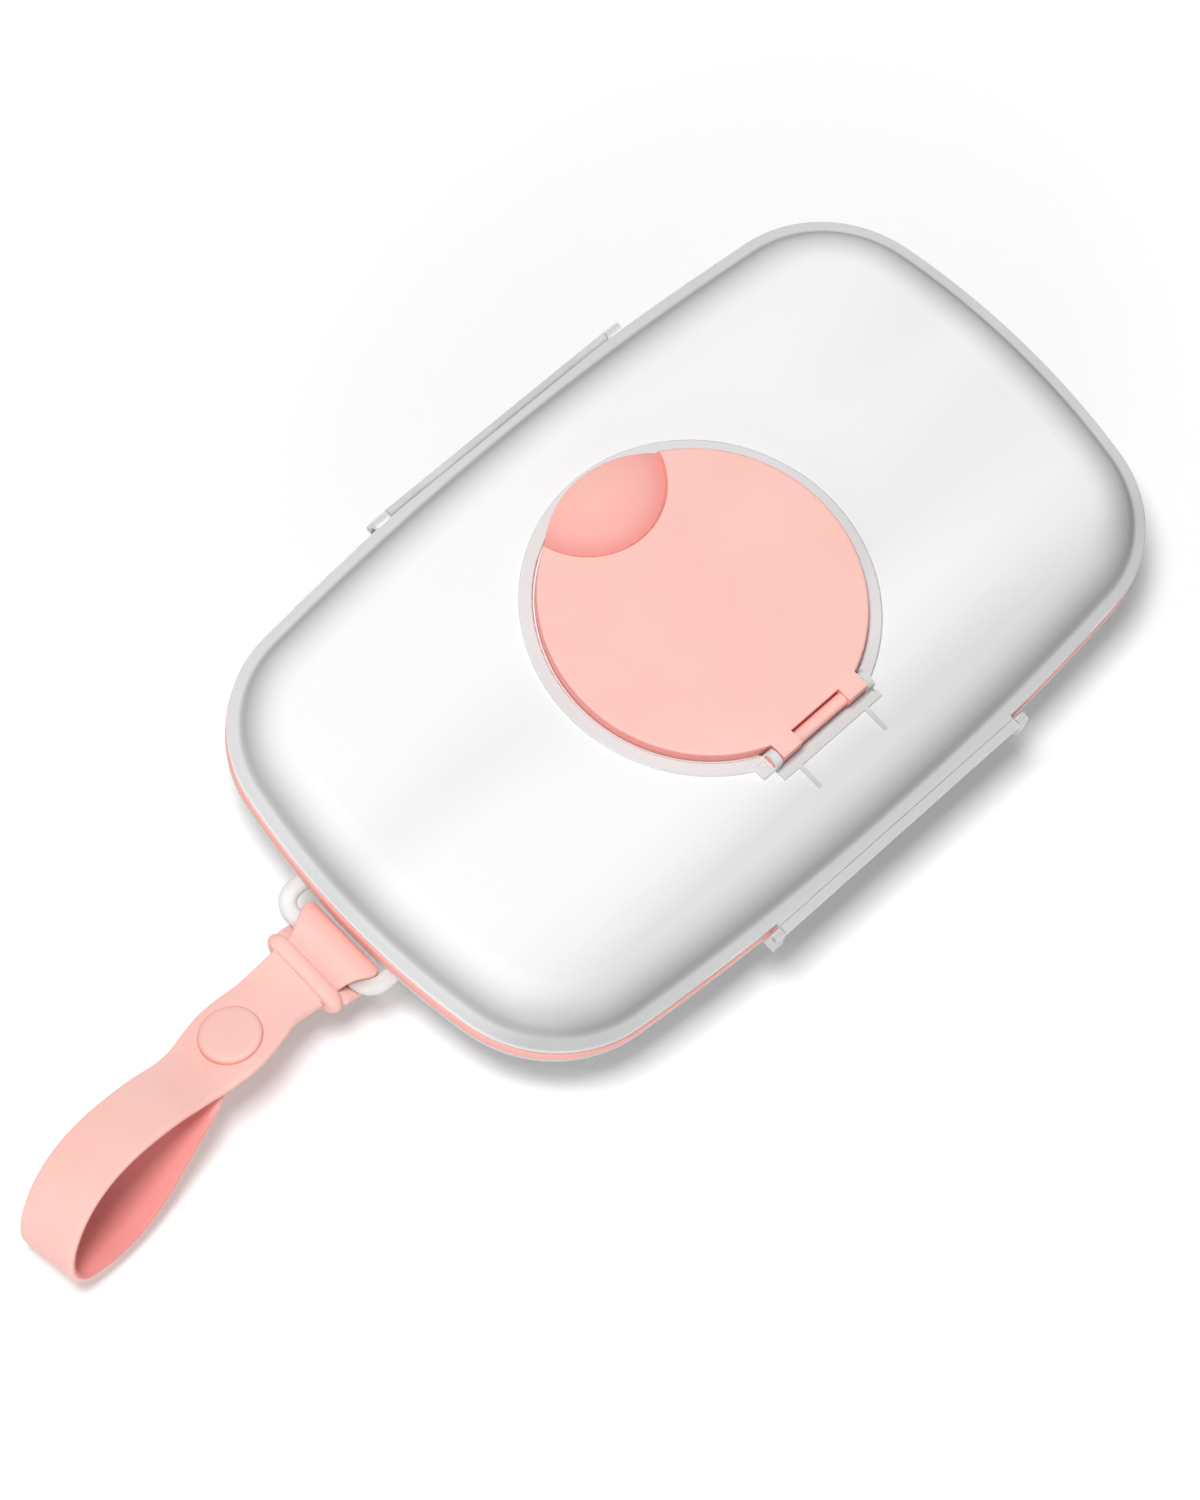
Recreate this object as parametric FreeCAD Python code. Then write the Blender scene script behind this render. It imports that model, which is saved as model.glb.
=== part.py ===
import FreeCAD, Part
import math
import os

# Portable wet wipe case: a hinged two-shell box with a round flip lid over the
# dispensing opening, a rim seal, a front latch and a wrist strap on a bail.
# Millimetres. The origin is the middle of the flat bottom. +Z is up, +X points at the
# strap end, -Y at the latch (front) and +Y at the case hinge (back).

V = FreeCAD.Vector
X_AXIS = V(1, 0, 0)
Y_AXIS = V(0, 1, 0)
Z_AXIS = V(0, 0, 1)
FULL_TURN = 360.0

# Case outline from above: eight tangent arcs
CASE_LENGTH = 200.0
CASE_WIDTH = 120.2
SIDE_ARC_RADIUS = 696.0
END_ARC_RADIUS = 177.5
CORNER_RADIUS = 29.65

# Shell heights, walls and flanges
FLANGE_TOP = 26.5
FLANGE_THICKNESS = 1.5
FLANGE_WIDTH = 2.4
FLANGE_EDGE_RADIUS = 0.4
WALL = 1.6
CROWN_RISE = 7.0
CROWN_SLOPE_WIDTH = 5.2
CROWN_RADIUS = 11.0
ROOT_RADIUS = 1.0
CROWN_PLATE_INSET = 18.0
TRAY_SLOPE_WIDTH = 6.6
TRAY_BOTTOM_RADIUS = 8.0
TRAY_PLATE_INSET = 19.0

# Rim seal between the flanges and the rib that locates it
SEAL_HEIGHT = 3.2
SEAL_WIDTH = 3.1
SEAL_EDGE_RADIUS = 0.5
SEAL_FIT = 0.1
RIB_WIDTH = 1.0
RIB_CLEARANCE = 0.5

# Clearances and the overrun of cuts
SOFT_GAP = 0.3
RUNNING_GAP = 0.05
SIDE_GAP = 0.2
OVERRUN = 1.0

# Case hinge at the back
HINGE_HALF_LENGTH = 37.5
HINGE_LUG_WIDTH = 2.5
HINGE_RADIUS = 1.05
HINGE_OUTSET = 1.0
HINGE_PIN_RADIUS = 0.5
HINGE_EDGE_RADIUS = 0.35
HINGE_GROOVE = 0.1
HINGE_GROOVE_DEPTH = 0.5

# Latch flap at the front
LATCH_HALF_LENGTH = 36.0
LATCH_LUG_WIDTH = 4.0
LATCH_RADIUS = 1.0
LATCH_OUTSET = 0.3
LATCH_PIN_RADIUS = 0.45
LATCH_GROOVE = 0.1
LATCH_THICKNESS = 1.2
LATCH_STAND_OFF = 0.7
LATCH_BEAD_DROP = 0.2
LATCH_BEAD_HEIGHT = 1.2
LATCH_SHOULDER = 1.4
LATCH_CORNER_RADIUS = 3.0
LATCH_EDGE_RADIUS = 0.5

# Flip lid
LID_RADIUS = 34.8
LID_RISE = 3.96
LID_PLATE = 2.2
LID_WALL = 1.5
LID_FLOOR_GAP = 0.15
LID_EDGE_RADIUS = 0.6
LID_GROOVE_WIDTH = 0.4
LID_GROOVE_DEPTH = 0.35
LID_GROOVE_DROP = 1.7
DIMPLE_RADIUS = 17.7
DIMPLE_OUTSET = 1.1
DIMPLE_DEPTH = 1.9
DIMPLE_FLOOR_RADIUS = 6.0
DIMPLE_STEP_WIDTH = 0.5
DIMPLE_STEP_DEPTH = 1.3
DIMPLE_STEP_RADIUS = 0.4
DIMPLE_WALL = 1.1
LIP_RADIUS = 24.0
LIP_OUTSET = 2.2
PAD_FIT = 0.6
PAD_RISE = 0.3
PAD_RIM_DROP = 1.0
PAD_SLOPE_WIDTH = 3.5
PAD_CROWN_RADIUS = 16.0

# Lid hinge: ears on the lid, lugs on the cover and a rod through both
LID_HINGE_OUT = 34.6
LID_HINGE_RISE = 1.7
EAR_INNER = 7.0
EAR_OUTER = 12.3
EAR_RADIUS = 2.2
EAR_BACK = 1.8
EAR_EDGE_RADIUS = 0.5
EAR_ROOT = 3.6
EAR_BACK_WALL = 1.2
LID_PIN_RADIUS = 1.5
LID_PIN_CHAMFER = 0.3
LUG_WIDTH = 1.8
LUG_RADIUS = 2.0
WELL_DEPTH = 1.2
WELL_FRONT = 3.4
WELL_BACK = 3.2
WELL_BOSS = 0.6
WELL_MARGIN = 1.4
STOP_PLATE_WIDTH = 1.5
COLLAR_GAP = 0.4
COLLAR_WIDTH = 3.0
COLLAR_RISE = 0.8
COLLAR_EDGE_RADIUS = 0.35
STIFFENER_X = 9.7
STIFFENER_WIDTH = 1.0
STIFFENER_LENGTH = 6.0
STIFFENER_TIP = 0.2
PIN_STOP_LENGTH = 3.3
PIN_STOP_WIDTH = 3.6
PIN_STOP_RISE = 1.1
PIN_STOP_RIM = 0.6
PIN_STOP_RECESS = 0.4

# Dispensing opening, its membrane and the ring that holds it
MOUTH_RADIUS = 17.5
NECK_INNER = 19.5
NECK_OUTER = 21.0
NECK_RISE = 1.4
NECK_EDGE_RADIUS = 0.4
MEMBRANE_RADIUS = 21.4
MEMBRANE_THICKNESS = 1.0
SLOT_LENGTH = 30.0
SLOT_WIDTH = 6.0
RING_THICKNESS = 1.6
RING_WALL = 1.4
RING_FIT = 0.1
LID_SEAL_WIDTH = 2.1
LID_SEAL_RIB = 0.8
LID_SEAL_RIB_DROP = 1.0

# Bail on the tray's end and the strap's eye round it
BAIL_OUT = 5.4
BAIL_DROP = 7.3
BAIL_RADIUS = 1.9
BAIL_HALF_SPAN = 13.4
BAIL_CORNER_RADIUS = 4.0
BAIL_ROOT_INSET = 4.0
STRAP_SIDE_SHIFT = 0.9
EYE_WIDTH = 19.4
EYE_CORNER_RADIUS = 2.0
NECK_START = 3.9
NECK_LENGTH = 5.3
NECK_CORNER_RADIUS = 0.5

# Keeper ring round the strap's neck
KEEPER_OFFSET = 1.0
KEEPER_LENGTH = 3.7
KEEPER_WIDTH = 21.0
KEEPER_WALL = 1.5
KEEPER_FIT = 0.15
KEEPER_EDGE_RADIUS = 1.2

# Strap: a flat silicone band, folded into a loop and snapped back on itself
BAND_WIDTH = 15.0
BAND_THICKNESS = 1.8
BAND_EDGE_RADIUS = 0.5
BAND_YAW = 4.0
BAND_ROLL = 20.0
ROLL_END = 9.5
STRAP_REACH = 73.4
LOOP_HEIGHT = 23.0
SNAP_PLACE = 18.3
SNAP_BULGE = 1.9
SNAP_BULGE_REACH = 11.0
SNAP_FLAT = 8.0
SNAP_LAYER_GAP = 0.7
TWIST_STATIONS = 12
LOOP_STATIONS = 30

# The loop's middle line from the end of the flat at the snap round to the start of
# the tail: how far out, as shares of STRAP_REACH, and how high, as shares of
# LOOP_HEIGHT, both from the strap's anchor
LOOP_SHARES = (
    (0.440, 0.048),
    (0.538, 0.157),
    (0.627, 0.220),
    (0.708, 0.250),
    (0.794, 0.226),
    (0.877, 0.124),
    (0.944, -0.052),
    (0.989, -0.270),
    (1.000, -0.426),
    (0.981, -0.600),
    (0.902, -0.717),
    (0.811, -0.752),
    (0.692, -0.670),
    (0.589, -0.500),
    (0.497, -0.317),
    (0.405, -0.170),
)

# Snap that closes the loop
CAP_RADIUS = 6.75
CAP_RISE = 1.5
CAP_EDGE = 0.6
POST_RADIUS = 1.7
POST_BORE_DEPTH = 1.5
SOCKET_RADIUS = 4.5
SOCKET_THICKNESS = 0.5
STUD_RADIUS = 1.0
STUD_HEAD_RADIUS = 4.6
STUD_HEAD_THICKNESS = 1.2
SNAP_FIT = 0.1

# Heights and places that follow from the sizes above
PANEL_TOP = FLANGE_TOP + CROWN_RISE
PANEL_UNDER = PANEL_TOP - WALL
COVER_FLANGE_UNDER = FLANGE_TOP - FLANGE_THICKNESS
SEAL_TOP = COVER_FLANGE_UNDER - SOFT_GAP
TRAY_FLANGE_TOP = SEAL_TOP - SEAL_HEIGHT
TRAY_FLANGE_UNDER = TRAY_FLANGE_TOP - FLANGE_THICKNESS
RIB_INSET = SEAL_WIDTH + SEAL_FIT
INNER_INSET = RIB_INSET + RIB_WIDTH
LID_TOP = PANEL_TOP + LID_RISE
LID_UNDER = PANEL_TOP + LID_FLOOR_GAP
LID_PLATE_UNDER = LID_TOP - LID_PLATE
HINGE_Y = CASE_WIDTH / 2 + HINGE_OUTSET
HINGE_Z = FLANGE_TOP - HINGE_RADIUS
HINGE_NOTCH_Y = HINGE_Y - HINGE_RADIUS - HINGE_GROOVE
LATCH_Y = -CASE_WIDTH / 2 - LATCH_OUTSET
LATCH_Z = FLANGE_TOP - LATCH_RADIUS
LATCH_NOTCH_Y = LATCH_Y + LATCH_RADIUS + LATCH_GROOVE
LID_HINGE_Z = PANEL_TOP + LID_HINGE_RISE
WELL_FLOOR = PANEL_TOP - WELL_DEPTH
LUG_OUTER = EAR_OUTER + SIDE_GAP + LUG_WIDTH
BAIL_X = CASE_LENGTH / 2 + BAIL_OUT
BAIL_Z = FLANGE_TOP - BAIL_DROP
ANCHOR = V(BAIL_X + NECK_START + NECK_LENGTH, STRAP_SIDE_SHIFT, BAIL_Z + BAND_THICKNESS / 2)


def rounded_edges(corners, place):
    """Edges of a closed outline whose corners (u, v, radius) are rounded by tangent arcs."""
    starts = []
    for i, (u, v, radius) in enumerate(corners):
        here = V(u, v, 0)
        back = V(corners[i - 1][0], corners[i - 1][1], 0) - here
        ahead_corner = corners[(i + 1) % len(corners)]
        ahead = V(ahead_corner[0], ahead_corner[1], 0) - here
        back.normalize()
        ahead.normalize()
        half = back.getAngle(ahead) / 2
        reach = radius / math.tan(half)
        middle = back + ahead
        if middle.Length > 0:
            middle.normalize()
        summit = here + middle * (radius / math.sin(half) - radius)
        starts.append((here + back * reach, summit, here + ahead * reach, radius))
    edges = []
    for i, (first, summit, last, radius) in enumerate(starts):
        previous = starts[i - 1][2]
        if (first - previous).Length > FreeCAD.Base.Precision.confusion():
            edges.append(Part.LineSegment(place(previous), place(first)).toShape())
        if radius > 0:
            edges.append(Part.Arc(place(first), place(summit), place(last)).toShape())
    return edges


def rounded_face(corners, place):
    return Part.Face(Part.Wire(rounded_edges(corners, place)))


def on_plan(z):
    return lambda p: V(p.x, p.y, z)


def on_section(x):
    return lambda p: V(x, p.x, p.y)


def on_radius(p):
    return V(p.x, 0, p.y)


def turned(corners):
    """Solid of revolution about Z through corners (radius from the axis, height, rounding)."""
    return rounded_face(corners, on_radius).revolve(V(), Z_AXIS, FULL_TURN)


def block(x0, x1, y0, y1, z0, z1):
    return Part.makeBox(x1 - x0, y1 - y0, z1 - z0, V(x0, y0, z0))


def rod_x(radius, x0, x1, y, z):
    return Part.makeCylinder(radius, x1 - x0, V(x0, y, z), X_AXIS)


def joined(shapes):
    return shapes[0].multiFuse(shapes[1:]).removeSplitter()


def mirrored_pair(shape):
    """The shape and its mirror image in the plane x = 0."""
    return [shape, shape.mirror(V(), X_AXIS)]


def outline_arcs():
    """The outline's arcs, anticlockwise: centre, radius, start angle and sweep in degrees."""
    side_y = CASE_WIDTH / 2 - SIDE_ARC_RADIUS
    end_x = CASE_LENGTH / 2 - END_ARC_RADIUS
    to_side = SIDE_ARC_RADIUS - CORNER_RADIUS
    to_end = END_ARC_RADIUS - CORNER_RADIUS
    apart = math.hypot(end_x, side_y)
    along = (apart ** 2 + to_side ** 2 - to_end ** 2) / (2 * apart)
    across = math.sqrt(to_side ** 2 - along ** 2)
    line = V(end_x, -side_y, 0) / apart
    corner = V(0, side_y, 0) + line * along + V(-line.y, line.x, 0) * across
    if corner.x < 0:
        corner = V(0, side_y, 0) + line * along - V(-line.y, line.x, 0) * across
    end_half = math.degrees(math.atan2(corner.y, corner.x - end_x))
    side_half = math.degrees(math.atan2(corner.x, corner.y - side_y))
    corner_sweep = FULL_TURN / 4 - side_half - end_half
    arcs = []
    for turn, centre, radius, half in (
        (0, V(end_x, 0, 0), END_ARC_RADIUS, end_half),
        (1, V(0, side_y, 0), SIDE_ARC_RADIUS, side_half),
        (2, V(-end_x, 0, 0), END_ARC_RADIUS, end_half),
        (3, V(0, -side_y, 0), SIDE_ARC_RADIUS, side_half),
    ):
        middle = turn * FULL_TURN / 4
        arcs.append((centre, radius, middle - half, 2 * half))
        sign_x = -1 if turn in (1, 2) else 1
        sign_y = -1 if turn in (2, 3) else 1
        corner_here = V(sign_x * corner.x, sign_y * corner.y, 0)
        arcs.append((corner_here, CORNER_RADIUS, middle + half, corner_sweep))
    return arcs


ARCS = outline_arcs()


def plan_wire(inset, z):
    """The case outline moved inwards by inset, at height z."""
    edges = []
    for centre, radius, start, sweep in ARCS:
        points = []
        for share in (0, 0.5, 1):
            angle = math.radians(start + share * sweep)
            reach = radius - inset
            points.append(V(centre.x + reach * math.cos(angle), centre.y + reach * math.sin(angle), z))
        edges.append(Part.Arc(*points).toShape())
    return Part.Wire(edges)


def plan_plate(inset, z0, z1):
    return Part.Face(plan_wire(inset, z0)).extrude(V(0, 0, z1 - z0))


def rim_solid(corners):
    """A section (inset, height, rounding) carried round the case outline, arc by arc."""
    pieces = []
    for centre, radius, start, sweep in ARCS:
        angle = math.radians(start)
        across = V(math.cos(angle), math.sin(angle), 0)
        face = rounded_face(corners, lambda p: centre + across * (radius - p.x) + V(0, 0, p.y))
        pieces.append(face.revolve(centre, Z_AXIS, sweep))
    return joined(pieces)


def crown_shell():
    """The cover's flange, sloping side and soft crown, with the flat panel in the middle."""
    slope = math.atan2(CROWN_RISE, CROWN_SLOPE_WIDTH)
    wall_across = WALL / math.sin(slope)
    foot = FLANGE_WIDTH + wall_across
    shoulder = FLANGE_WIDTH + CROWN_SLOPE_WIDTH
    inner_shoulder = foot + (CROWN_RISE - WALL) / math.tan(slope)
    rim = rim_solid([
        (0, COVER_FLANGE_UNDER, FLANGE_EDGE_RADIUS),
        (0, FLANGE_TOP, FLANGE_EDGE_RADIUS),
        (FLANGE_WIDTH, FLANGE_TOP, ROOT_RADIUS),
        (shoulder, PANEL_TOP, CROWN_RADIUS),
        (CROWN_PLATE_INSET, PANEL_TOP, 0),
        (CROWN_PLATE_INSET, PANEL_UNDER, 0),
        (inner_shoulder, PANEL_UNDER, CROWN_RADIUS - WALL),
        (foot, FLANGE_TOP, 0),
        (foot, COVER_FLANGE_UNDER, 0),
    ])
    return joined([rim, plan_plate(CROWN_PLATE_INSET, PANEL_UNDER, PANEL_TOP)])


def upright_lug(x0, x1, y, z, radius, bottom):
    stem = block(x0, x1, y - radius, y + radius, bottom, z)
    return stem.fuse(rod_x(radius, x0, x1, y, z))


def lid_hinge_seat(shell):
    """The collar round the lid, the hinge well and the lugs, stop plate and ribs about it."""
    inner = LID_RADIUS + COLLAR_GAP
    outer = inner + COLLAR_WIDTH
    collar = turned([
        (inner, PANEL_UNDER, 0),
        (outer, PANEL_UNDER, 0),
        (outer, PANEL_TOP + COLLAR_RISE, COLLAR_EDGE_RADIUS),
        (inner, PANEL_TOP + COLLAR_RISE, COLLAR_EDGE_RADIUS),
    ])
    front = LID_HINGE_OUT - WELL_FRONT
    back = LID_HINGE_OUT + WELL_BACK
    plate_back = back + STOP_PLATE_WIDTH
    boss = block(
        -LUG_OUTER - WELL_MARGIN, LUG_OUTER + WELL_MARGIN, front - WELL_MARGIN, plate_back,
        WELL_FLOOR - WALL - WELL_BOSS, WELL_FLOOR,
    )
    stop_plate = block(-LUG_OUTER, LUG_OUTER, back, plate_back, PANEL_UNDER, PANEL_TOP + COLLAR_RISE)
    rib_foot = V(STIFFENER_X - STIFFENER_WIDTH / 2, plate_back, PANEL_UNDER)
    rib_points = [
        rib_foot,
        rib_foot + V(0, STIFFENER_LENGTH, 0),
        rib_foot + V(0, STIFFENER_LENGTH, WALL + STIFFENER_TIP),
        rib_foot + V(0, 0, WALL + COLLAR_RISE),
        rib_foot,
    ]
    rib = Part.Face(Part.makePolygon(rib_points)).extrude(V(STIFFENER_WIDTH, 0, 0))
    lug = upright_lug(EAR_OUTER + SIDE_GAP, LUG_OUTER, LID_HINGE_OUT, LID_HINGE_Z, LUG_RADIUS, WELL_FLOOR)
    half_stop = PIN_STOP_WIDTH / 2
    pin_stop = block(
        LUG_OUTER, LUG_OUTER + PIN_STOP_LENGTH, LID_HINGE_OUT - half_stop, LID_HINGE_OUT + half_stop,
        PANEL_UNDER, PANEL_TOP + PIN_STOP_RISE,
    )
    stop_recess = block(
        LUG_OUTER + PIN_STOP_RIM, LUG_OUTER + PIN_STOP_LENGTH - PIN_STOP_RIM,
        LID_HINGE_OUT - half_stop + PIN_STOP_RIM, LID_HINGE_OUT + half_stop - PIN_STOP_RIM,
        PANEL_TOP + PIN_STOP_RISE - PIN_STOP_RECESS, PANEL_TOP + PIN_STOP_RISE + OVERRUN,
    )
    well = block(-LUG_OUTER, LUG_OUTER, front, back, WELL_FLOOR, PANEL_TOP + COLLAR_RISE + OVERRUN)
    shell = joined([shell, collar, boss]).cut(well)
    shell = joined([shell, stop_plate, pin_stop.cut(stop_recess)] + mirrored_pair(rib) + mirrored_pair(lug))
    return shell.cut(rod_x(LID_PIN_RADIUS, -LUG_OUTER, LUG_OUTER, LID_HINGE_OUT, LID_HINGE_Z))


def mouth_parts(shell):
    """The neck round the dispensing opening and the wall that holds the membrane's ring."""
    neck = turned([
        (NECK_INNER, PANEL_UNDER, 0),
        (NECK_OUTER, PANEL_UNDER, 0),
        (NECK_OUTER, PANEL_TOP + NECK_RISE, NECK_EDGE_RADIUS),
        (NECK_INNER, PANEL_TOP + NECK_RISE, NECK_EDGE_RADIUS),
    ])
    wall_inner = MEMBRANE_RADIUS + RING_FIT
    wall_bottom = PANEL_UNDER - MEMBRANE_THICKNESS - RING_THICKNESS
    ring_wall = turned([
        (wall_inner, wall_bottom, 0),
        (wall_inner + RING_WALL, wall_bottom, 0),
        (wall_inner + RING_WALL, PANEL_TOP, 0),
        (wall_inner, PANEL_TOP, 0),
    ])
    mouth = Part.makeCylinder(MOUTH_RADIUS, WALL + 2 * OVERRUN, V(0, 0, PANEL_UNDER - OVERRUN))
    return joined([shell.cut(mouth), neck, ring_wall])


def cover_hinge_knuckle(shell):
    """The long knuckle along the cover's back edge, flat on top, behind a groove in the flange."""
    half = HINGE_HALF_LENGTH - HINGE_LUG_WIDTH - SIDE_GAP
    notch_half = HINGE_HALF_LENGTH + SIDE_GAP
    notch = block(
        -notch_half, notch_half, HINGE_NOTCH_Y, HINGE_Y + HINGE_RADIUS + OVERRUN,
        COVER_FLANGE_UNDER - OVERRUN, FLANGE_TOP + OVERRUN,
    )
    web = block(
        -half, half, HINGE_NOTCH_Y - OVERRUN, HINGE_Y,
        COVER_FLANGE_UNDER, FLANGE_TOP - HINGE_GROOVE_DEPTH,
    )
    shelf = block(
        -half, half, HINGE_NOTCH_Y - OVERRUN, HINGE_NOTCH_Y, COVER_FLANGE_UNDER, FLANGE_TOP,
    )
    knuckle = rounded_face([
        (HINGE_Y - HINGE_RADIUS, HINGE_Z - HINGE_RADIUS, HINGE_RADIUS),
        (HINGE_Y + HINGE_RADIUS, HINGE_Z - HINGE_RADIUS, HINGE_RADIUS),
        (HINGE_Y + HINGE_RADIUS, FLANGE_TOP, HINGE_EDGE_RADIUS),
        (HINGE_Y - HINGE_RADIUS, FLANGE_TOP, HINGE_EDGE_RADIUS),
    ], on_section(-half)).extrude(V(2 * half, 0, 0))
    bore = rod_x(HINGE_PIN_RADIUS + RUNNING_GAP, -half - OVERRUN, half + OVERRUN, HINGE_Y, HINGE_Z)
    return joined([shell.cut(notch), web, shelf, knuckle]).cut(bore)


def cover_latch_lugs(shell):
    """The two lugs at the cover's front edge that carry the latch pin."""
    notch_half = LATCH_HALF_LENGTH + SIDE_GAP
    notch = block(
        -notch_half, notch_half, LATCH_Y - LATCH_RADIUS - OVERRUN, LATCH_NOTCH_Y,
        COVER_FLANGE_UNDER - OVERRUN, FLANGE_TOP + OVERRUN,
    )
    lug_start = LATCH_HALF_LENGTH - LATCH_LUG_WIDTH
    web = block(
        lug_start, LATCH_HALF_LENGTH, LATCH_Y, LATCH_NOTCH_Y + OVERRUN,
        COVER_FLANGE_UNDER, LATCH_Z + LATCH_RADIUS / 2,
    )
    lug = rod_x(LATCH_RADIUS, lug_start, LATCH_HALF_LENGTH, LATCH_Y, LATCH_Z)
    shell = joined([shell.cut(notch)] + mirrored_pair(web) + mirrored_pair(lug))
    return shell.cut(rod_x(LATCH_PIN_RADIUS, -LATCH_HALF_LENGTH, LATCH_HALF_LENGTH, LATCH_Y, LATCH_Z))


def cover():
    shell = crown_shell()
    shell = lid_hinge_seat(shell)
    shell = mouth_parts(shell)
    shell = cover_hinge_knuckle(shell)
    return cover_latch_lugs(shell)


def bail_bar():
    """The round bar that stands out of the tray's end as a D for the strap."""
    root_x = CASE_LENGTH / 2 - BAIL_ROOT_INSET
    corners = [
        (root_x, -BAIL_HALF_SPAN, 0),
        (BAIL_X, -BAIL_HALF_SPAN, BAIL_CORNER_RADIUS),
        (BAIL_X, BAIL_HALF_SPAN, BAIL_CORNER_RADIUS),
        (root_x, BAIL_HALF_SPAN, 0),
    ]
    path = Part.Wire(rounded_edges(corners, on_plan(BAIL_Z))[1:])
    section = Part.Wire(Part.makeCircle(BAIL_RADIUS, V(root_x, -BAIL_HALF_SPAN, BAIL_Z), X_AXIS))
    return path.makePipeShell([section], True, False)


def base_tray():
    """The lower shell: flat bottom, sloping wall, flange, seal rib, hinge lugs and bail."""
    wall_across = INNER_INSET - FLANGE_WIDTH
    foot = FLANGE_WIDTH + TRAY_SLOPE_WIDTH
    slope = TRAY_SLOPE_WIDTH / TRAY_FLANGE_UNDER
    inner_foot = foot - WALL * slope + wall_across
    rim = rim_solid([
        (0, TRAY_FLANGE_TOP, FLANGE_EDGE_RADIUS),
        (0, TRAY_FLANGE_UNDER, FLANGE_EDGE_RADIUS),
        (FLANGE_WIDTH, TRAY_FLANGE_UNDER, 0),
        (foot, 0, TRAY_BOTTOM_RADIUS),
        (TRAY_PLATE_INSET, 0, 0),
        (TRAY_PLATE_INSET, WALL, 0),
        (inner_foot, WALL, TRAY_BOTTOM_RADIUS - WALL),
        (INNER_INSET, TRAY_FLANGE_UNDER, 0),
        (INNER_INSET, COVER_FLANGE_UNDER - RIB_CLEARANCE, 0),
        (RIB_INSET, COVER_FLANGE_UNDER - RIB_CLEARANCE, 0),
        (RIB_INSET, TRAY_FLANGE_TOP, 0),
    ])
    lug_start = HINGE_HALF_LENGTH - HINGE_LUG_WIDTH
    lug = upright_lug(lug_start, HINGE_HALF_LENGTH, HINGE_Y, HINGE_Z, HINGE_RADIUS, TRAY_FLANGE_UNDER)
    foot_plate = block(
        lug_start, HINGE_HALF_LENGTH, CASE_WIDTH / 2 - FLANGE_WIDTH - OVERRUN, HINGE_Y,
        TRAY_FLANGE_UNDER, TRAY_FLANGE_TOP,
    )
    bottom = plan_plate(TRAY_PLATE_INSET, 0, WALL)
    tray = joined([rim, bottom, bail_bar()] + mirrored_pair(lug) + mirrored_pair(foot_plate))
    return tray.cut(rod_x(HINGE_PIN_RADIUS, -HINGE_HALF_LENGTH, HINGE_HALF_LENGTH, HINGE_Y, HINGE_Z))


def rim_gasket():
    """The soft band between the flanges, set back behind the case hinge."""
    band = rim_solid([
        (0, TRAY_FLANGE_TOP, SEAL_EDGE_RADIUS),
        (SEAL_WIDTH, TRAY_FLANGE_TOP, 0),
        (SEAL_WIDTH, SEAL_TOP, SEAL_EDGE_RADIUS),
        (0, SEAL_TOP, SEAL_EDGE_RADIUS),
    ])
    half = HINGE_HALF_LENGTH + SOFT_GAP
    hinge_room = block(
        -half, half, HINGE_NOTCH_Y - SIDE_GAP, HINGE_Y + HINGE_RADIUS,
        TRAY_FLANGE_TOP - OVERRUN, SEAL_TOP + OVERRUN,
    )
    return band.cut(hinge_room)


def case_hinge_pin():
    return rod_x(HINGE_PIN_RADIUS, -HINGE_HALF_LENGTH, HINGE_HALF_LENGTH, HINGE_Y, HINGE_Z)


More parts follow.
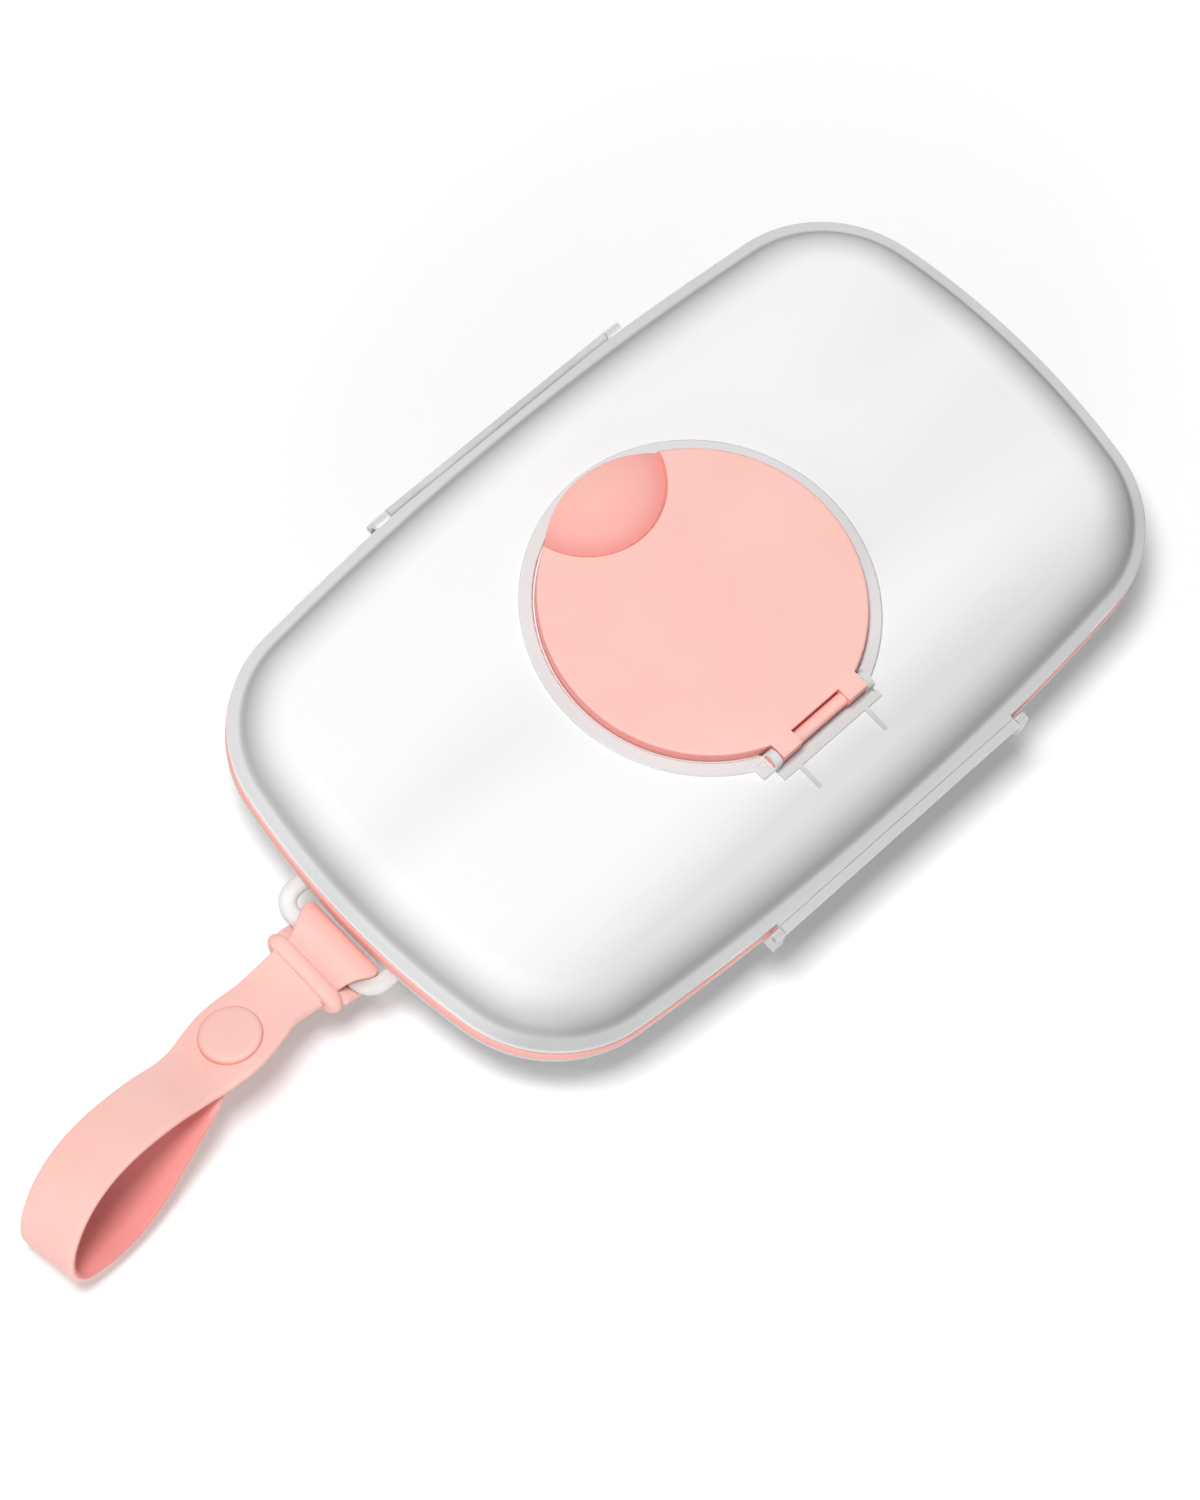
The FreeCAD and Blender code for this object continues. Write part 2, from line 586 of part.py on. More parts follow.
def latch_flap():
    """The flap that hangs on the latch pin, with the bead that snaps under the tray's flange."""
    half = LATCH_HALF_LENGTH - LATCH_LUG_WIDTH - SIDE_GAP
    inner_y = -CASE_WIDTH / 2 - LATCH_STAND_OFF
    outer_y = inner_y - LATCH_THICKNESS
    bead_y = -CASE_WIDTH / 2 - SOFT_GAP
    bead_top = TRAY_FLANGE_UNDER - LATCH_BEAD_DROP
    flap_bottom = bead_top - LATCH_BEAD_HEIGHT
    shoulder_z = LATCH_Z - LATCH_RADIUS - LATCH_SHOULDER
    section = [
        (outer_y, shoulder_z, LATCH_EDGE_RADIUS),
        (outer_y, flap_bottom, LATCH_EDGE_RADIUS),
        (bead_y, flap_bottom, LATCH_EDGE_RADIUS),
        (bead_y, bead_top, 0),
        (inner_y, bead_top, 0),
        (inner_y, shoulder_z, 0),
    ]
    plate = rounded_face(section, on_section(-LATCH_HALF_LENGTH)).extrude(V(2 * LATCH_HALF_LENGTH, 0, 0))
    front = [
        (-LATCH_HALF_LENGTH, flap_bottom, LATCH_CORNER_RADIUS),
        (LATCH_HALF_LENGTH, flap_bottom, LATCH_CORNER_RADIUS),
        (LATCH_HALF_LENGTH, shoulder_z, LATCH_EDGE_RADIUS),
        (-LATCH_HALF_LENGTH, shoulder_z, LATCH_EDGE_RADIUS),
    ]
    window = rounded_face(front, lambda p: V(p.x, outer_y - OVERRUN, p.y)).extrude(V(0, CASE_WIDTH / 2, 0))
    stem_points = [
        V(-half, LATCH_Y - LATCH_RADIUS, LATCH_Z),
        V(-half, outer_y, shoulder_z - LATCH_EDGE_RADIUS),
        V(-half, inner_y, shoulder_z - LATCH_EDGE_RADIUS),
        V(-half, inner_y, shoulder_z),
        V(-half, LATCH_Y, LATCH_Z - LATCH_RADIUS),
        V(-half, LATCH_Y, LATCH_Z),
        V(-half, LATCH_Y - LATCH_RADIUS, LATCH_Z),
    ]
    stem = Part.Face(Part.makePolygon(stem_points)).extrude(V(2 * half, 0, 0))
    knuckle = rod_x(LATCH_RADIUS, -half, half, LATCH_Y, LATCH_Z)
    bore = rod_x(LATCH_PIN_RADIUS + RUNNING_GAP, -half - OVERRUN, half + OVERRUN, LATCH_Y, LATCH_Z)
    return joined([plate.common(window), stem, knuckle]).cut(bore)


def latch_pin():
    return rod_x(LATCH_PIN_RADIUS, -LATCH_HALF_LENGTH, LATCH_HALF_LENGTH, LATCH_Y, LATCH_Z)


def thumb_dish(drop):
    """The round hollow for the thumb at the lid's front edge, moved down by drop."""
    top = LID_TOP - drop
    dish = turned([
        (0, top - DIMPLE_DEPTH, 0),
        (DIMPLE_FLOOR_RADIUS, top - DIMPLE_DEPTH, DIMPLE_RADIUS),
        (DIMPLE_RADIUS - DIMPLE_STEP_WIDTH, top - DIMPLE_STEP_DEPTH, DIMPLE_STEP_RADIUS),
        (DIMPLE_RADIUS, top, 0),
        (DIMPLE_RADIUS, LID_TOP + OVERRUN, 0),
        (0, LID_TOP + OVERRUN, 0),
    ])
    dish.translate(V(0, -LID_RADIUS - DIMPLE_OUTSET, 0))
    return dish


def lid():
    """The round flip lid: plate and skirt, thumb dish and lip, seal rib and two hinge ears."""
    inner = LID_RADIUS - LID_WALL
    cap = turned([
        (0, LID_TOP, 0),
        (LID_RADIUS, LID_TOP, LID_EDGE_RADIUS),
        (LID_RADIUS, LID_UNDER, 0),
        (inner, LID_UNDER, 0),
        (inner, LID_PLATE_UNDER, 0),
        (0, LID_PLATE_UNDER, 0),
    ])
    groove_z = LID_TOP - LID_GROOVE_DROP
    groove = turned([
        (LID_RADIUS - LID_GROOVE_DEPTH, groove_z, 0),
        (LID_RADIUS + OVERRUN, groove_z, 0),
        (LID_RADIUS + OVERRUN, groove_z - LID_GROOVE_WIDTH, 0),
        (LID_RADIUS - LID_GROOVE_DEPTH, groove_z - LID_GROOVE_WIDTH, 0),
    ])
    rib_inner = NECK_OUTER + SOFT_GAP + LID_SEAL_WIDTH + SEAL_FIT
    rib = turned([
        (rib_inner, LID_PLATE_UNDER - LID_SEAL_RIB_DROP, 0),
        (rib_inner + LID_SEAL_RIB, LID_PLATE_UNDER - LID_SEAL_RIB_DROP, 0),
        (rib_inner + LID_SEAL_RIB, LID_TOP - LID_PLATE / 2, 0),
        (rib_inner, LID_TOP - LID_PLATE / 2, 0),
    ])
    dish = thumb_dish(0)
    backing = thumb_dish(DIMPLE_WALL)
    backing_room = turned([
        (rib_inner + LID_SEAL_RIB / 2, LID_UNDER, 0),
        (inner + LID_WALL / 2, LID_UNDER, 0),
        (inner + LID_WALL / 2, LID_TOP - LID_PLATE / 2, 0),
        (rib_inner + LID_SEAL_RIB / 2, LID_TOP - LID_PLATE / 2, 0),
    ])
    lip_bottom = PANEL_TOP + COLLAR_RISE + SOFT_GAP
    lip_centre = V(0, LIP_RADIUS - LIP_OUTSET - LID_RADIUS, lip_bottom)
    lip = Part.makeCylinder(LIP_RADIUS, LID_TOP - LID_PLATE / 2 - lip_bottom, lip_centre)
    lip = lip.cut(Part.makeCylinder(inner + LID_WALL / 2, LID_RISE, V(0, 0, PANEL_TOP)))
    ear_back = LID_HINGE_OUT + EAR_BACK
    ear = rounded_face([
        (LID_HINGE_OUT - EAR_ROOT, LID_UNDER, 0),
        (LID_HINGE_OUT - EAR_RADIUS, LID_UNDER, 0),
        (LID_HINGE_OUT - EAR_RADIUS, LID_HINGE_Z - EAR_RADIUS, EAR_BACK),
        (ear_back, LID_HINGE_Z - EAR_RADIUS, EAR_BACK),
        (ear_back, LID_TOP, EAR_EDGE_RADIUS),
        (LID_HINGE_OUT - EAR_ROOT, LID_TOP, 0),
    ], on_section(EAR_INNER)).extrude(V(EAR_OUTER - EAR_INNER, 0, 0))
    recess_y = LID_HINGE_OUT - LID_PIN_RADIUS - SIDE_GAP
    recess = block(
        -EAR_INNER, EAR_INNER, recess_y, LID_RADIUS + OVERRUN,
        LID_UNDER - OVERRUN, LID_TOP + OVERRUN,
    )
    back_wall = block(-EAR_INNER, EAR_INNER, recess_y - EAR_BACK_WALL, recess_y, LID_UNDER, LID_TOP)
    body = joined([cap.cut(groove), rib, backing.common(backing_room), lip]).cut(dish)
    body = joined([body.cut(recess), back_wall] + mirrored_pair(ear))
    bore = rod_x(LID_PIN_RADIUS + RUNNING_GAP, -LUG_OUTER, LUG_OUTER, LID_HINGE_OUT, LID_HINGE_Z)
    return body.cut(bore)


def pad_disc(radius, y):
    """A disc with a soft rim, about an upright axis at y."""
    top = LID_TOP + PAD_RISE
    bottom = LID_TOP - DIMPLE_DEPTH - OVERRUN
    disc = turned([
        (0, bottom, 0),
        (radius, bottom, 0),
        (radius, LID_TOP - PAD_RIM_DROP, 0),
        (radius - PAD_SLOPE_WIDTH, top, PAD_CROWN_RADIUS),
        (0, top, 0),
    ])
    disc.translate(V(0, y, 0))
    return disc


def thumb_pad():
    """The pillow-shaped pad on the dish's floor, bounded by the dish and the lip."""
    inner = pad_disc(DIMPLE_RADIUS - PAD_FIT, -LID_RADIUS - DIMPLE_OUTSET)
    outer = pad_disc(LIP_RADIUS, LIP_RADIUS - LIP_OUTSET - LID_RADIUS)
    return thumb_dish(0).common(inner).common(outer)


def lid_hinge_pin():
    rod = rod_x(LID_PIN_RADIUS, -LUG_OUTER, LUG_OUTER, LID_HINGE_OUT, LID_HINGE_Z)
    rims = [edge for edge in rod.Edges if edge.Closed]
    return rod.makeChamfer(LID_PIN_CHAMFER, rims)


def lid_seal():
    inner = NECK_OUTER + SOFT_GAP
    return turned([
        (inner, PANEL_TOP + SOFT_GAP, SEAL_EDGE_RADIUS),
        (inner + LID_SEAL_WIDTH, PANEL_TOP + SOFT_GAP, SEAL_EDGE_RADIUS),
        (inner + LID_SEAL_WIDTH, LID_PLATE_UNDER, 0),
        (inner, LID_PLATE_UNDER, 0),
    ])


def dispensing_membrane():
    """A soft disc under the mouth, with the round-ended slot that the wipes pull through."""
    bottom = PANEL_UNDER - MEMBRANE_THICKNESS
    disc = Part.makeCylinder(MEMBRANE_RADIUS, MEMBRANE_THICKNESS, V(0, 0, bottom))
    half_length = SLOT_LENGTH / 2
    half_width = SLOT_WIDTH / 2
    slot = rounded_face([
        (-half_length, -half_width, half_width),
        (half_length, -half_width, half_width),
        (half_length, half_width, half_width),
        (-half_length, half_width, half_width),
    ], on_plan(bottom - OVERRUN))
    return disc.cut(slot.extrude(V(0, 0, MEMBRANE_THICKNESS + 2 * OVERRUN)))


def membrane_ring():
    top = PANEL_UNDER - MEMBRANE_THICKNESS
    return turned([
        (MOUTH_RADIUS, top - RING_THICKNESS, RING_FIT),
        (MEMBRANE_RADIUS, top - RING_THICKNESS, RING_FIT),
        (MEMBRANE_RADIUS, top, 0),
        (MOUTH_RADIUS, top, 0),
    ])


def band_frame(along, rise):
    """Point, outward direction and width direction of the band at a place on its middle line."""
    yaw = math.radians(BAND_YAW)
    share = min(max(along / ROLL_END, 0), 1)
    roll = math.radians(BAND_ROLL) * share * share * (3 - 2 * share)
    out = V(math.cos(yaw), math.sin(yaw), 0)
    level = V(-math.sin(yaw), math.cos(yaw), 0)
    width = level * math.cos(roll) + Z_AXIS * math.sin(roll)
    up = Z_AXIS * math.cos(roll) - level * math.sin(roll)
    return ANCHOR + out * along + up * rise, out, width, up


def loop_line():
    """The loop's middle line in its own plane (out, up), straight on to the layers at the snap."""
    flat_end = SNAP_PLACE + SNAP_FLAT
    points = [V(flat_end, 0, 0)]
    points += [V(out * STRAP_REACH, up * LOOP_HEIGHT, 0) for out, up in LOOP_SHARES]
    points.append(V(flat_end, -BAND_THICKNESS - SNAP_LAYER_GAP, 0))
    curve = Part.BSplineCurve()
    curve.interpolate(Points=points, InitialTangent=X_AXIS, FinalTangent=-X_AXIS)
    return curve


def band_section(here, heading):
    """The band's rounded rectangular section at a place on its middle line."""
    centre, out, width, up = band_frame(here.x, here.y)
    normal = up * heading.x - out * heading.y
    off_snap = min(abs(here.x - SNAP_PLACE) / SNAP_BULGE_REACH, 1)
    half_width = BAND_WIDTH / 2 + SNAP_BULGE * math.cos(off_snap * math.pi / 2) ** 2
    half_thickness = BAND_THICKNESS / 2
    corners = [
        (-half_width, -half_thickness, BAND_EDGE_RADIUS),
        (half_width, -half_thickness, BAND_EDGE_RADIUS),
        (half_width, half_thickness, BAND_EDGE_RADIUS),
        (-half_width, half_thickness, BAND_EDGE_RADIUS),
    ]
    return Part.Wire(rounded_edges(corners, lambda p: centre + width * p.x + normal * p.y))


def straight_band(start, end, rise):
    """A straight stretch of the band, with its twist and its bulge at the snap."""
    sections = []
    for i in range(TWIST_STATIONS + 1):
        along = start + (end - start) * i / TWIST_STATIONS
        sections.append(band_section(V(along, rise, 0), X_AXIS))
    return Part.makeLoft(sections, True, True)


def loop_band():
    line = loop_line()
    length = line.length()
    sections = []
    for i in range(LOOP_STATIONS + 1):
        parameter = line.parameterAtDistance(length * i / LOOP_STATIONS, line.FirstParameter)
        sections.append(band_section(line.value(parameter), line.tangent(parameter)[0]))
    return Part.makeLoft(sections, True, False)


def strap_eye():
    """The strap's end, folded round the bail and narrowing to the two-layer neck."""
    outer = BAIL_RADIUS + SOFT_GAP + BAND_THICKNESS
    neck_x = BAIL_X + NECK_START + NECK_LENGTH
    side = [
        (BAIL_X - outer, BAIL_Z - outer, outer),
        (BAIL_X + outer / 2, BAIL_Z - outer, outer / 2),
        (BAIL_X + NECK_START + KEEPER_OFFSET, BAIL_Z - BAND_THICKNESS, outer / 2),
        (neck_x, BAIL_Z - BAND_THICKNESS, NECK_CORNER_RADIUS),
        (neck_x, BAIL_Z + BAND_THICKNESS, 0),
        (BAIL_X + NECK_START + KEEPER_OFFSET, BAIL_Z + BAND_THICKNESS, outer / 2),
        (BAIL_X + outer / 2, BAIL_Z + outer, outer / 2),
        (BAIL_X - outer, BAIL_Z + outer, outer),
    ]
    low_y = STRAP_SIDE_SHIFT - EYE_WIDTH / 2
    high_y = STRAP_SIDE_SHIFT + EYE_WIDTH / 2
    neck_low = STRAP_SIDE_SHIFT - BAND_WIDTH / 2
    neck_high = STRAP_SIDE_SHIFT + BAND_WIDTH / 2
    body = rounded_face(side, lambda p: V(p.x, low_y, p.y)).extrude(V(0, EYE_WIDTH, 0))
    plan = [
        (BAIL_X - outer, low_y, EYE_CORNER_RADIUS),
        (BAIL_X + outer / 2, low_y + (neck_low - low_y) / 2, outer),
        (BAIL_X + NECK_START + KEEPER_OFFSET, neck_low, outer),
        (neck_x, neck_low, 0),
        (neck_x, neck_high, 0),
        (BAIL_X + NECK_START + KEEPER_OFFSET, neck_high, outer),
        (BAIL_X + outer / 2, high_y + (neck_high - high_y) / 2, outer),
        (BAIL_X - outer, high_y, EYE_CORNER_RADIUS),
    ]
    trim = rounded_face(plan, on_plan(BAIL_Z - outer)).extrude(V(0, 0, 2 * outer))
    bore = Part.makeCylinder(BAIL_RADIUS + SOFT_GAP, EYE_WIDTH, V(BAIL_X, low_y, BAIL_Z), Y_AXIS)
    return body.common(trim).cut(bore)


def snap_bore(radius, low, high):
    """A round cut square to the band at the snap, between two heights over its middle line."""
    centre, out, width, up = band_frame(SNAP_PLACE, 0)
    return Part.makeCylinder(radius, high - low, centre + up * low, up)


def strap():
    """The whole strap: eye, twisted lead, loop and the tail that snaps under the lead."""
    flat_end = SNAP_PLACE + SNAP_FLAT
    lead = straight_band((KEEPER_OFFSET + KEEPER_LENGTH - NECK_LENGTH) / 2, flat_end, 0)
    tail = straight_band(SNAP_PLACE - SNAP_FLAT, flat_end, -BAND_THICKNESS - SNAP_LAYER_GAP)
    half = BAND_THICKNESS / 2
    tail_under = -SNAP_LAYER_GAP - BAND_THICKNESS - half
    post_hole = snap_bore(POST_RADIUS + SNAP_FIT, -half - SNAP_LAYER_GAP / 2, half + OVERRUN)
    stud_hole = snap_bore(STUD_RADIUS + SNAP_FIT, tail_under - OVERRUN, -half - SNAP_LAYER_GAP / 2)
    return joined([strap_eye(), lead, loop_band(), tail]).cut(post_hole).cut(stud_hole)


def strap_keeper():
    """The rounded ring that holds the fold of the strap together."""
    slot_half = BAND_WIDTH / 2 + KEEPER_FIT
    slot_rise = BAND_THICKNESS + KEEPER_FIT
    rise = slot_rise + KEEPER_WALL
    half = KEEPER_WIDTH / 2
    start_x = BAIL_X + NECK_START + KEEPER_OFFSET
    outline = [(-half, -rise, rise), (half, -rise, rise), (half, rise, rise), (-half, rise, rise)]
    ring = rounded_face(outline, lambda p: V(start_x, STRAP_SIDE_SHIFT + p.x, BAIL_Z + p.y))
    ring = ring.extrude(V(KEEPER_LENGTH, 0, 0))
    end_edges = [edge for face in ring.Faces if abs(face.normalAt(0, 0).x) == 1 for edge in face.Edges]
    ring = ring.makeFillet(KEEPER_EDGE_RADIUS, end_edges)
    slot = block(
        start_x - OVERRUN, start_x + KEEPER_LENGTH + OVERRUN,
        STRAP_SIDE_SHIFT - slot_half, STRAP_SIDE_SHIFT + slot_half, BAIL_Z - slot_rise, BAIL_Z + slot_rise,
    )
    return ring.cut(slot)


def on_snap(shape):
    """Move a piece modelled about +Z to the snap, with z = 0 on the band's middle line."""
    centre, out, width, up = band_frame(SNAP_PLACE, 0)
    shape.Placement = FreeCAD.Placement(centre, FreeCAD.Rotation(out, width, up, "ZXY"))
    return shape


def snap_cap():
    top = BAND_THICKNESS / 2
    under = -top - SOCKET_THICKNESS
    crown_edge = top + CAP_EDGE
    profile = [
        (0, under + POST_BORE_DEPTH, 0),
        (STUD_RADIUS + SNAP_FIT, under + POST_BORE_DEPTH, 0),
        (STUD_RADIUS + SNAP_FIT, under, 0),
        (POST_RADIUS, under, 0),
        (POST_RADIUS, top, 0),
        (CAP_RADIUS, top, 0),
        (CAP_RADIUS, crown_edge, CAP_EDGE / 2),
        (CAP_RADIUS / 2, top + CAP_RISE, CAP_RADIUS),
        (0, top + CAP_RISE, 0),
    ]
    return on_snap(turned(profile))


def snap_socket():
    top = -BAND_THICKNESS / 2
    return on_snap(turned([
        (POST_RADIUS + RUNNING_GAP, top - SOCKET_THICKNESS, 0),
        (SOCKET_RADIUS, top - SOCKET_THICKNESS, 0),
        (SOCKET_RADIUS, top, 0),
        (POST_RADIUS + RUNNING_GAP, top, 0),
    ]))


def snap_stud():
    tail_under = -SNAP_LAYER_GAP - 3 * BAND_THICKNESS / 2
    tip = -BAND_THICKNESS / 2 - SOCKET_THICKNESS + POST_BORE_DEPTH - SNAP_FIT
    return on_snap(turned([
        (0, tail_under - STUD_HEAD_THICKNESS, 0),
        (STUD_HEAD_RADIUS, tail_under - STUD_HEAD_THICKNESS, STUD_HEAD_THICKNESS / 2),
        (STUD_HEAD_RADIUS, tail_under, 0),
        (STUD_RADIUS, tail_under, 0),
        (STUD_RADIUS, tip, SNAP_FIT),
        (0, tip, 0),
    ]))


PIECES = {
    "base_tray": base_tray,
    "cover": cover,
    "rim_gasket": rim_gasket,
    "case_hinge_pin": case_hinge_pin,
    "latch_flap": latch_flap,
    "latch_pin": latch_pin,
    "lid": lid,
    "thumb_pad": thumb_pad,
    "lid_hinge_pin": lid_hinge_pin,
    "lid_seal": lid_seal,
    "dispensing_membrane": dispensing_membrane,
    "membrane_ring": membrane_ring,
    "strap": strap,
    "strap_keeper": strap_keeper,
    "snap_cap": snap_cap,
    "snap_socket": snap_socket,
    "snap_stud": snap_stud,
}

os.makedirs("parts", exist_ok=True)
for name, make in PIECES.items():
    shape = make()
    shape.exportStep("parts/" + name + ".step")
    print(name, "solids", len(shape.Solids), "valid", shape.isValid(), "volume", round(shape.Volume, 1))
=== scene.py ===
import math

import bmesh
import bpy
from mathutils import Matrix, Vector


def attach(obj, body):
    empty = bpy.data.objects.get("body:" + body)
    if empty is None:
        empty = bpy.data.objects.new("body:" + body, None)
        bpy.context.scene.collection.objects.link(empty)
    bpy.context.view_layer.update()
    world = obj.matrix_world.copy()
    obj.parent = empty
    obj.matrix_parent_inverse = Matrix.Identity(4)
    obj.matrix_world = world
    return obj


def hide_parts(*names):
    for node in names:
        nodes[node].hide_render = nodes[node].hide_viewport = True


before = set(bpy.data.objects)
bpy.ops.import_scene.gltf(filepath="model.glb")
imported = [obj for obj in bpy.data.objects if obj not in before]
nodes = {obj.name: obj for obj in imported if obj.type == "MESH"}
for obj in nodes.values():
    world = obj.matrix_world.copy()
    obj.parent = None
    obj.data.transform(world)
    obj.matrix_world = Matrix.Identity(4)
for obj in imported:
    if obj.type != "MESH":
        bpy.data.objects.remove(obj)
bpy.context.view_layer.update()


# Camera
# A long lens looks down on the case from its strap end and hinge side, rolled so that the
# case lies across the picture from lower left to upper right.
CAMERA_PLACE = (0.370492, 0.198414, 0.926971)
CAMERA_RIGHT = (-0.71355, 0.69040, 0.11913)
CAMERA_UP = (-0.61153, -0.69673, 0.37496)
CAMERA_BACK = (0.34188, 0.19470, 0.91935)
LENS_MM = 114.0
SENSOR_MM = 36.0

camera_data = bpy.data.cameras.new("camera")
camera_data.lens = LENS_MM
camera_data.sensor_width = SENSOR_MM
camera = bpy.data.objects.new("camera", camera_data)
bpy.context.scene.collection.objects.link(camera)
camera.matrix_world = Matrix.Translation(CAMERA_PLACE) @ Matrix((
    CAMERA_RIGHT, CAMERA_UP, CAMERA_BACK)).transposed().to_4x4()
bpy.context.scene.camera = camera
bpy.context.scene.view_settings.view_transform = "Standard"


# Studio
# A white paper sweep under an even white tent. A high lamp towards the strap end, with its glare
# filtered out, throws a short shadow past the hinge side, where a low card lights the upright
# faces.
WHITE = (1.0, 1.0, 1.0, 1.0)
WHOLE_RANGE = (0.0, 1.0)
FLOOR_SIZE = 6.0
FLOOR_DROP = 0.0003
FLOOR_WHITE = (0.93, 0.93, 0.93, 1.0)
FLOOR_LIFT = (0.02, 0.90)
FLOOR_LIFT_REACH = (0.06, 0.66)
TENT_STRENGTH = 0.22
KEY_LAMP = ((0.34, -0.06, 1.30), 0.35, 13.9)
FILL_LAMP = ((0.80, 0.72, 0.15), 0.60, 3.8)


def new_material(name):
    """An empty material: its node tree, its Principled shader and the material."""
    material = bpy.data.materials.new(name)
    material.use_nodes = True
    return material.node_tree, material.node_tree.nodes["Principled BSDF"], material


def mapped(tree, value, source, target):
    """A value taken from one range to another."""
    spread = tree.nodes.new("ShaderNodeMapRange")
    spread.inputs["From Min"].default_value, spread.inputs["From Max"].default_value = source
    spread.inputs["To Min"].default_value, spread.inputs["To Max"].default_value = target
    tree.links.new(value, spread.inputs["Value"])
    return spread.outputs["Result"]


def seen_directly(tree):
    """1 for what the camera sees, also in a reflection or through glass, and otherwise 0."""
    path = tree.nodes.new("ShaderNodeLightPath")
    seen = path.outputs["Is Camera Ray"]
    for ray in ("Is Glossy Ray", "Is Transmission Ray"):
        either = tree.nodes.new("ShaderNodeMath")
        either.operation = "MAXIMUM"
        tree.links.new(seen, either.inputs[0])
        tree.links.new(path.outputs[ray], either.inputs[1])
        seen = either.outputs[0]
    return seen


floor_mesh = bpy.data.meshes.new("studio_floor")
half_floor = FLOOR_SIZE / 2
floor_mesh.from_pydata(
    [(-half_floor, -half_floor, -FLOOR_DROP), (half_floor, -half_floor, -FLOOR_DROP),
     (half_floor, half_floor, -FLOOR_DROP), (-half_floor, half_floor, -FLOOR_DROP)],
    [], [(0, 1, 2, 3)])
floor = bpy.data.objects.new("studio_floor", floor_mesh)
bpy.context.scene.collection.objects.link(floor)
floor_tree, floor_shader, floor_paper = new_material("studio_paper")
floor_shader.inputs["Base Color"].default_value = FLOOR_WHITE
floor_shader.inputs["Roughness"].default_value = 1.0
floor_shader.inputs["Specular IOR Level"].default_value = 0.0
floor_place = floor_tree.nodes.new("ShaderNodeTexCoord")
floor_away = floor_tree.nodes.new("ShaderNodeVectorMath")
floor_away.operation = "LENGTH"
floor_tree.links.new(floor_place.outputs["Object"], floor_away.inputs[0])
floor_fade = mapped(floor_tree, floor_away.outputs["Value"], FLOOR_LIFT_REACH, FLOOR_LIFT)
floor_glow = floor_tree.nodes.new("ShaderNodeMath")
floor_glow.operation = "MULTIPLY"
floor_tree.links.new(seen_directly(floor_tree), floor_glow.inputs[0])
floor_tree.links.new(floor_fade, floor_glow.inputs[1])
floor_shader.inputs["Emission Color"].default_value = WHITE
floor_tree.links.new(floor_glow.outputs[0], floor_shader.inputs["Emission Strength"])
floor_mesh.materials.append(floor_paper)

world = bpy.data.worlds.new("white_tent")
world.use_nodes = True
tent = world.node_tree.nodes["Background"]
tent.inputs["Color"].default_value = WHITE
world.node_tree.links.new(
    mapped(world.node_tree, seen_directly(world.node_tree), WHOLE_RANGE, (TENT_STRENGTH, 1.0)),
    tent.inputs["Strength"])
bpy.context.scene.world = world

for lamp_name, lamp_values in (("key_lamp", KEY_LAMP), ("fill_card", FILL_LAMP)):
    lamp_place, lamp_size, lamp_watts = lamp_values
    lamp_data = bpy.data.lights.new(lamp_name, "AREA")
    lamp_data.shape = "SQUARE"
    lamp_data.size = lamp_size
    lamp_data.energy = lamp_watts
    lamp = bpy.data.objects.new(lamp_name, lamp_data)
    bpy.context.scene.collection.objects.link(lamp)
    lamp.location = lamp_place
    lamp.rotation_euler = (-Vector(lamp_place)).to_track_quat("-Z", "Y").to_euler()
    lamp.visible_glossy = lamp_name != "key_lamp"


# Base tray
# The lower shell with its flange and the round bail for the strap, one injection moulding in
# clear plastic. It is glassy; its colour is painted greyer, a painted shade, where its wall is seen edge-on.
# Painted shade: the tray's colour greys where its wall is seen edge-on.
TRAY_PAINTED_EDGE_SHADE = (
    (0.00, (0.97, 0.975, 0.975, 1.0)), (0.50, (0.92, 0.93, 0.93, 1.0)),
    (0.95, (0.58, 0.60, 0.60, 1.0)))
TRAY_CLOUD = ((0.30, (0.955, 0.96, 0.96, 1.0)), (0.65, WHITE))
TRAY_OPACITY = (0.42, 0.90)
TRAY_ROUGHNESS = (0.12, 0.22)
SHELL_CLOUD_SIZE = 26.0
SHELL_GLOSS_SIZE = 60.0
SHELL_RIPPLE_SIZE = 700.0
SHELL_RIPPLE = (0.08, 0.00005)
SHELL_IOR = 1.49


def add_node(tree, kind, **settings):
    """A new node of a material, with the given settings."""
    node = tree.nodes.new("ShaderNode" + kind)
    for name, value in settings.items():
        setattr(node, name, value)
    return node


def object_noise(tree, size, detail):
    """Noise fixed to the piece; size is its number of waves per metre."""
    place = add_node(tree, "TexCoord")
    noise = add_node(tree, "TexNoise")
    noise.inputs["Scale"].default_value = size
    noise.inputs["Detail"].default_value = detail
    tree.links.new(place.outputs["Object"], noise.inputs["Vector"])
    return noise.outputs["Fac"]


def vary_roughness(tree, shader, size, ends):
    """Roughness that wanders between two ends over the surface."""
    tree.links.new(mapped(tree, object_noise(tree, size, 3.0), WHOLE_RANGE, ends), shader.inputs["Roughness"])


def add_bump(tree, shader, height, relief):
    """A fine relief, given by its strength and its depth in metres."""
    bump = add_node(tree, "Bump")
    bump.inputs["Strength"].default_value, bump.inputs["Distance"].default_value = relief
    tree.links.new(height, bump.inputs["Height"])
    tree.links.new(bump.outputs["Normal"], shader.inputs["Normal"])


def colour_ramp(tree, value, stops):
    """Colours laid over a value between 0 and 1."""
    ramp = add_node(tree, "ValToRGB")
    ends = ramp.color_ramp.elements
    ends[0].position, ends[0].color = stops[0]
    ends[1].position, ends[1].color = stops[-1]
    for position, colour in stops[1:-1]:
        ends.new(position).color = colour
    tree.links.new(value, ramp.inputs["Fac"])
    return ramp.outputs["Color"]


def dress(node, material):
    """Give a carried-over CAD piece its finish."""
    nodes[node].data.materials.clear()
    nodes[node].data.materials.append(material)


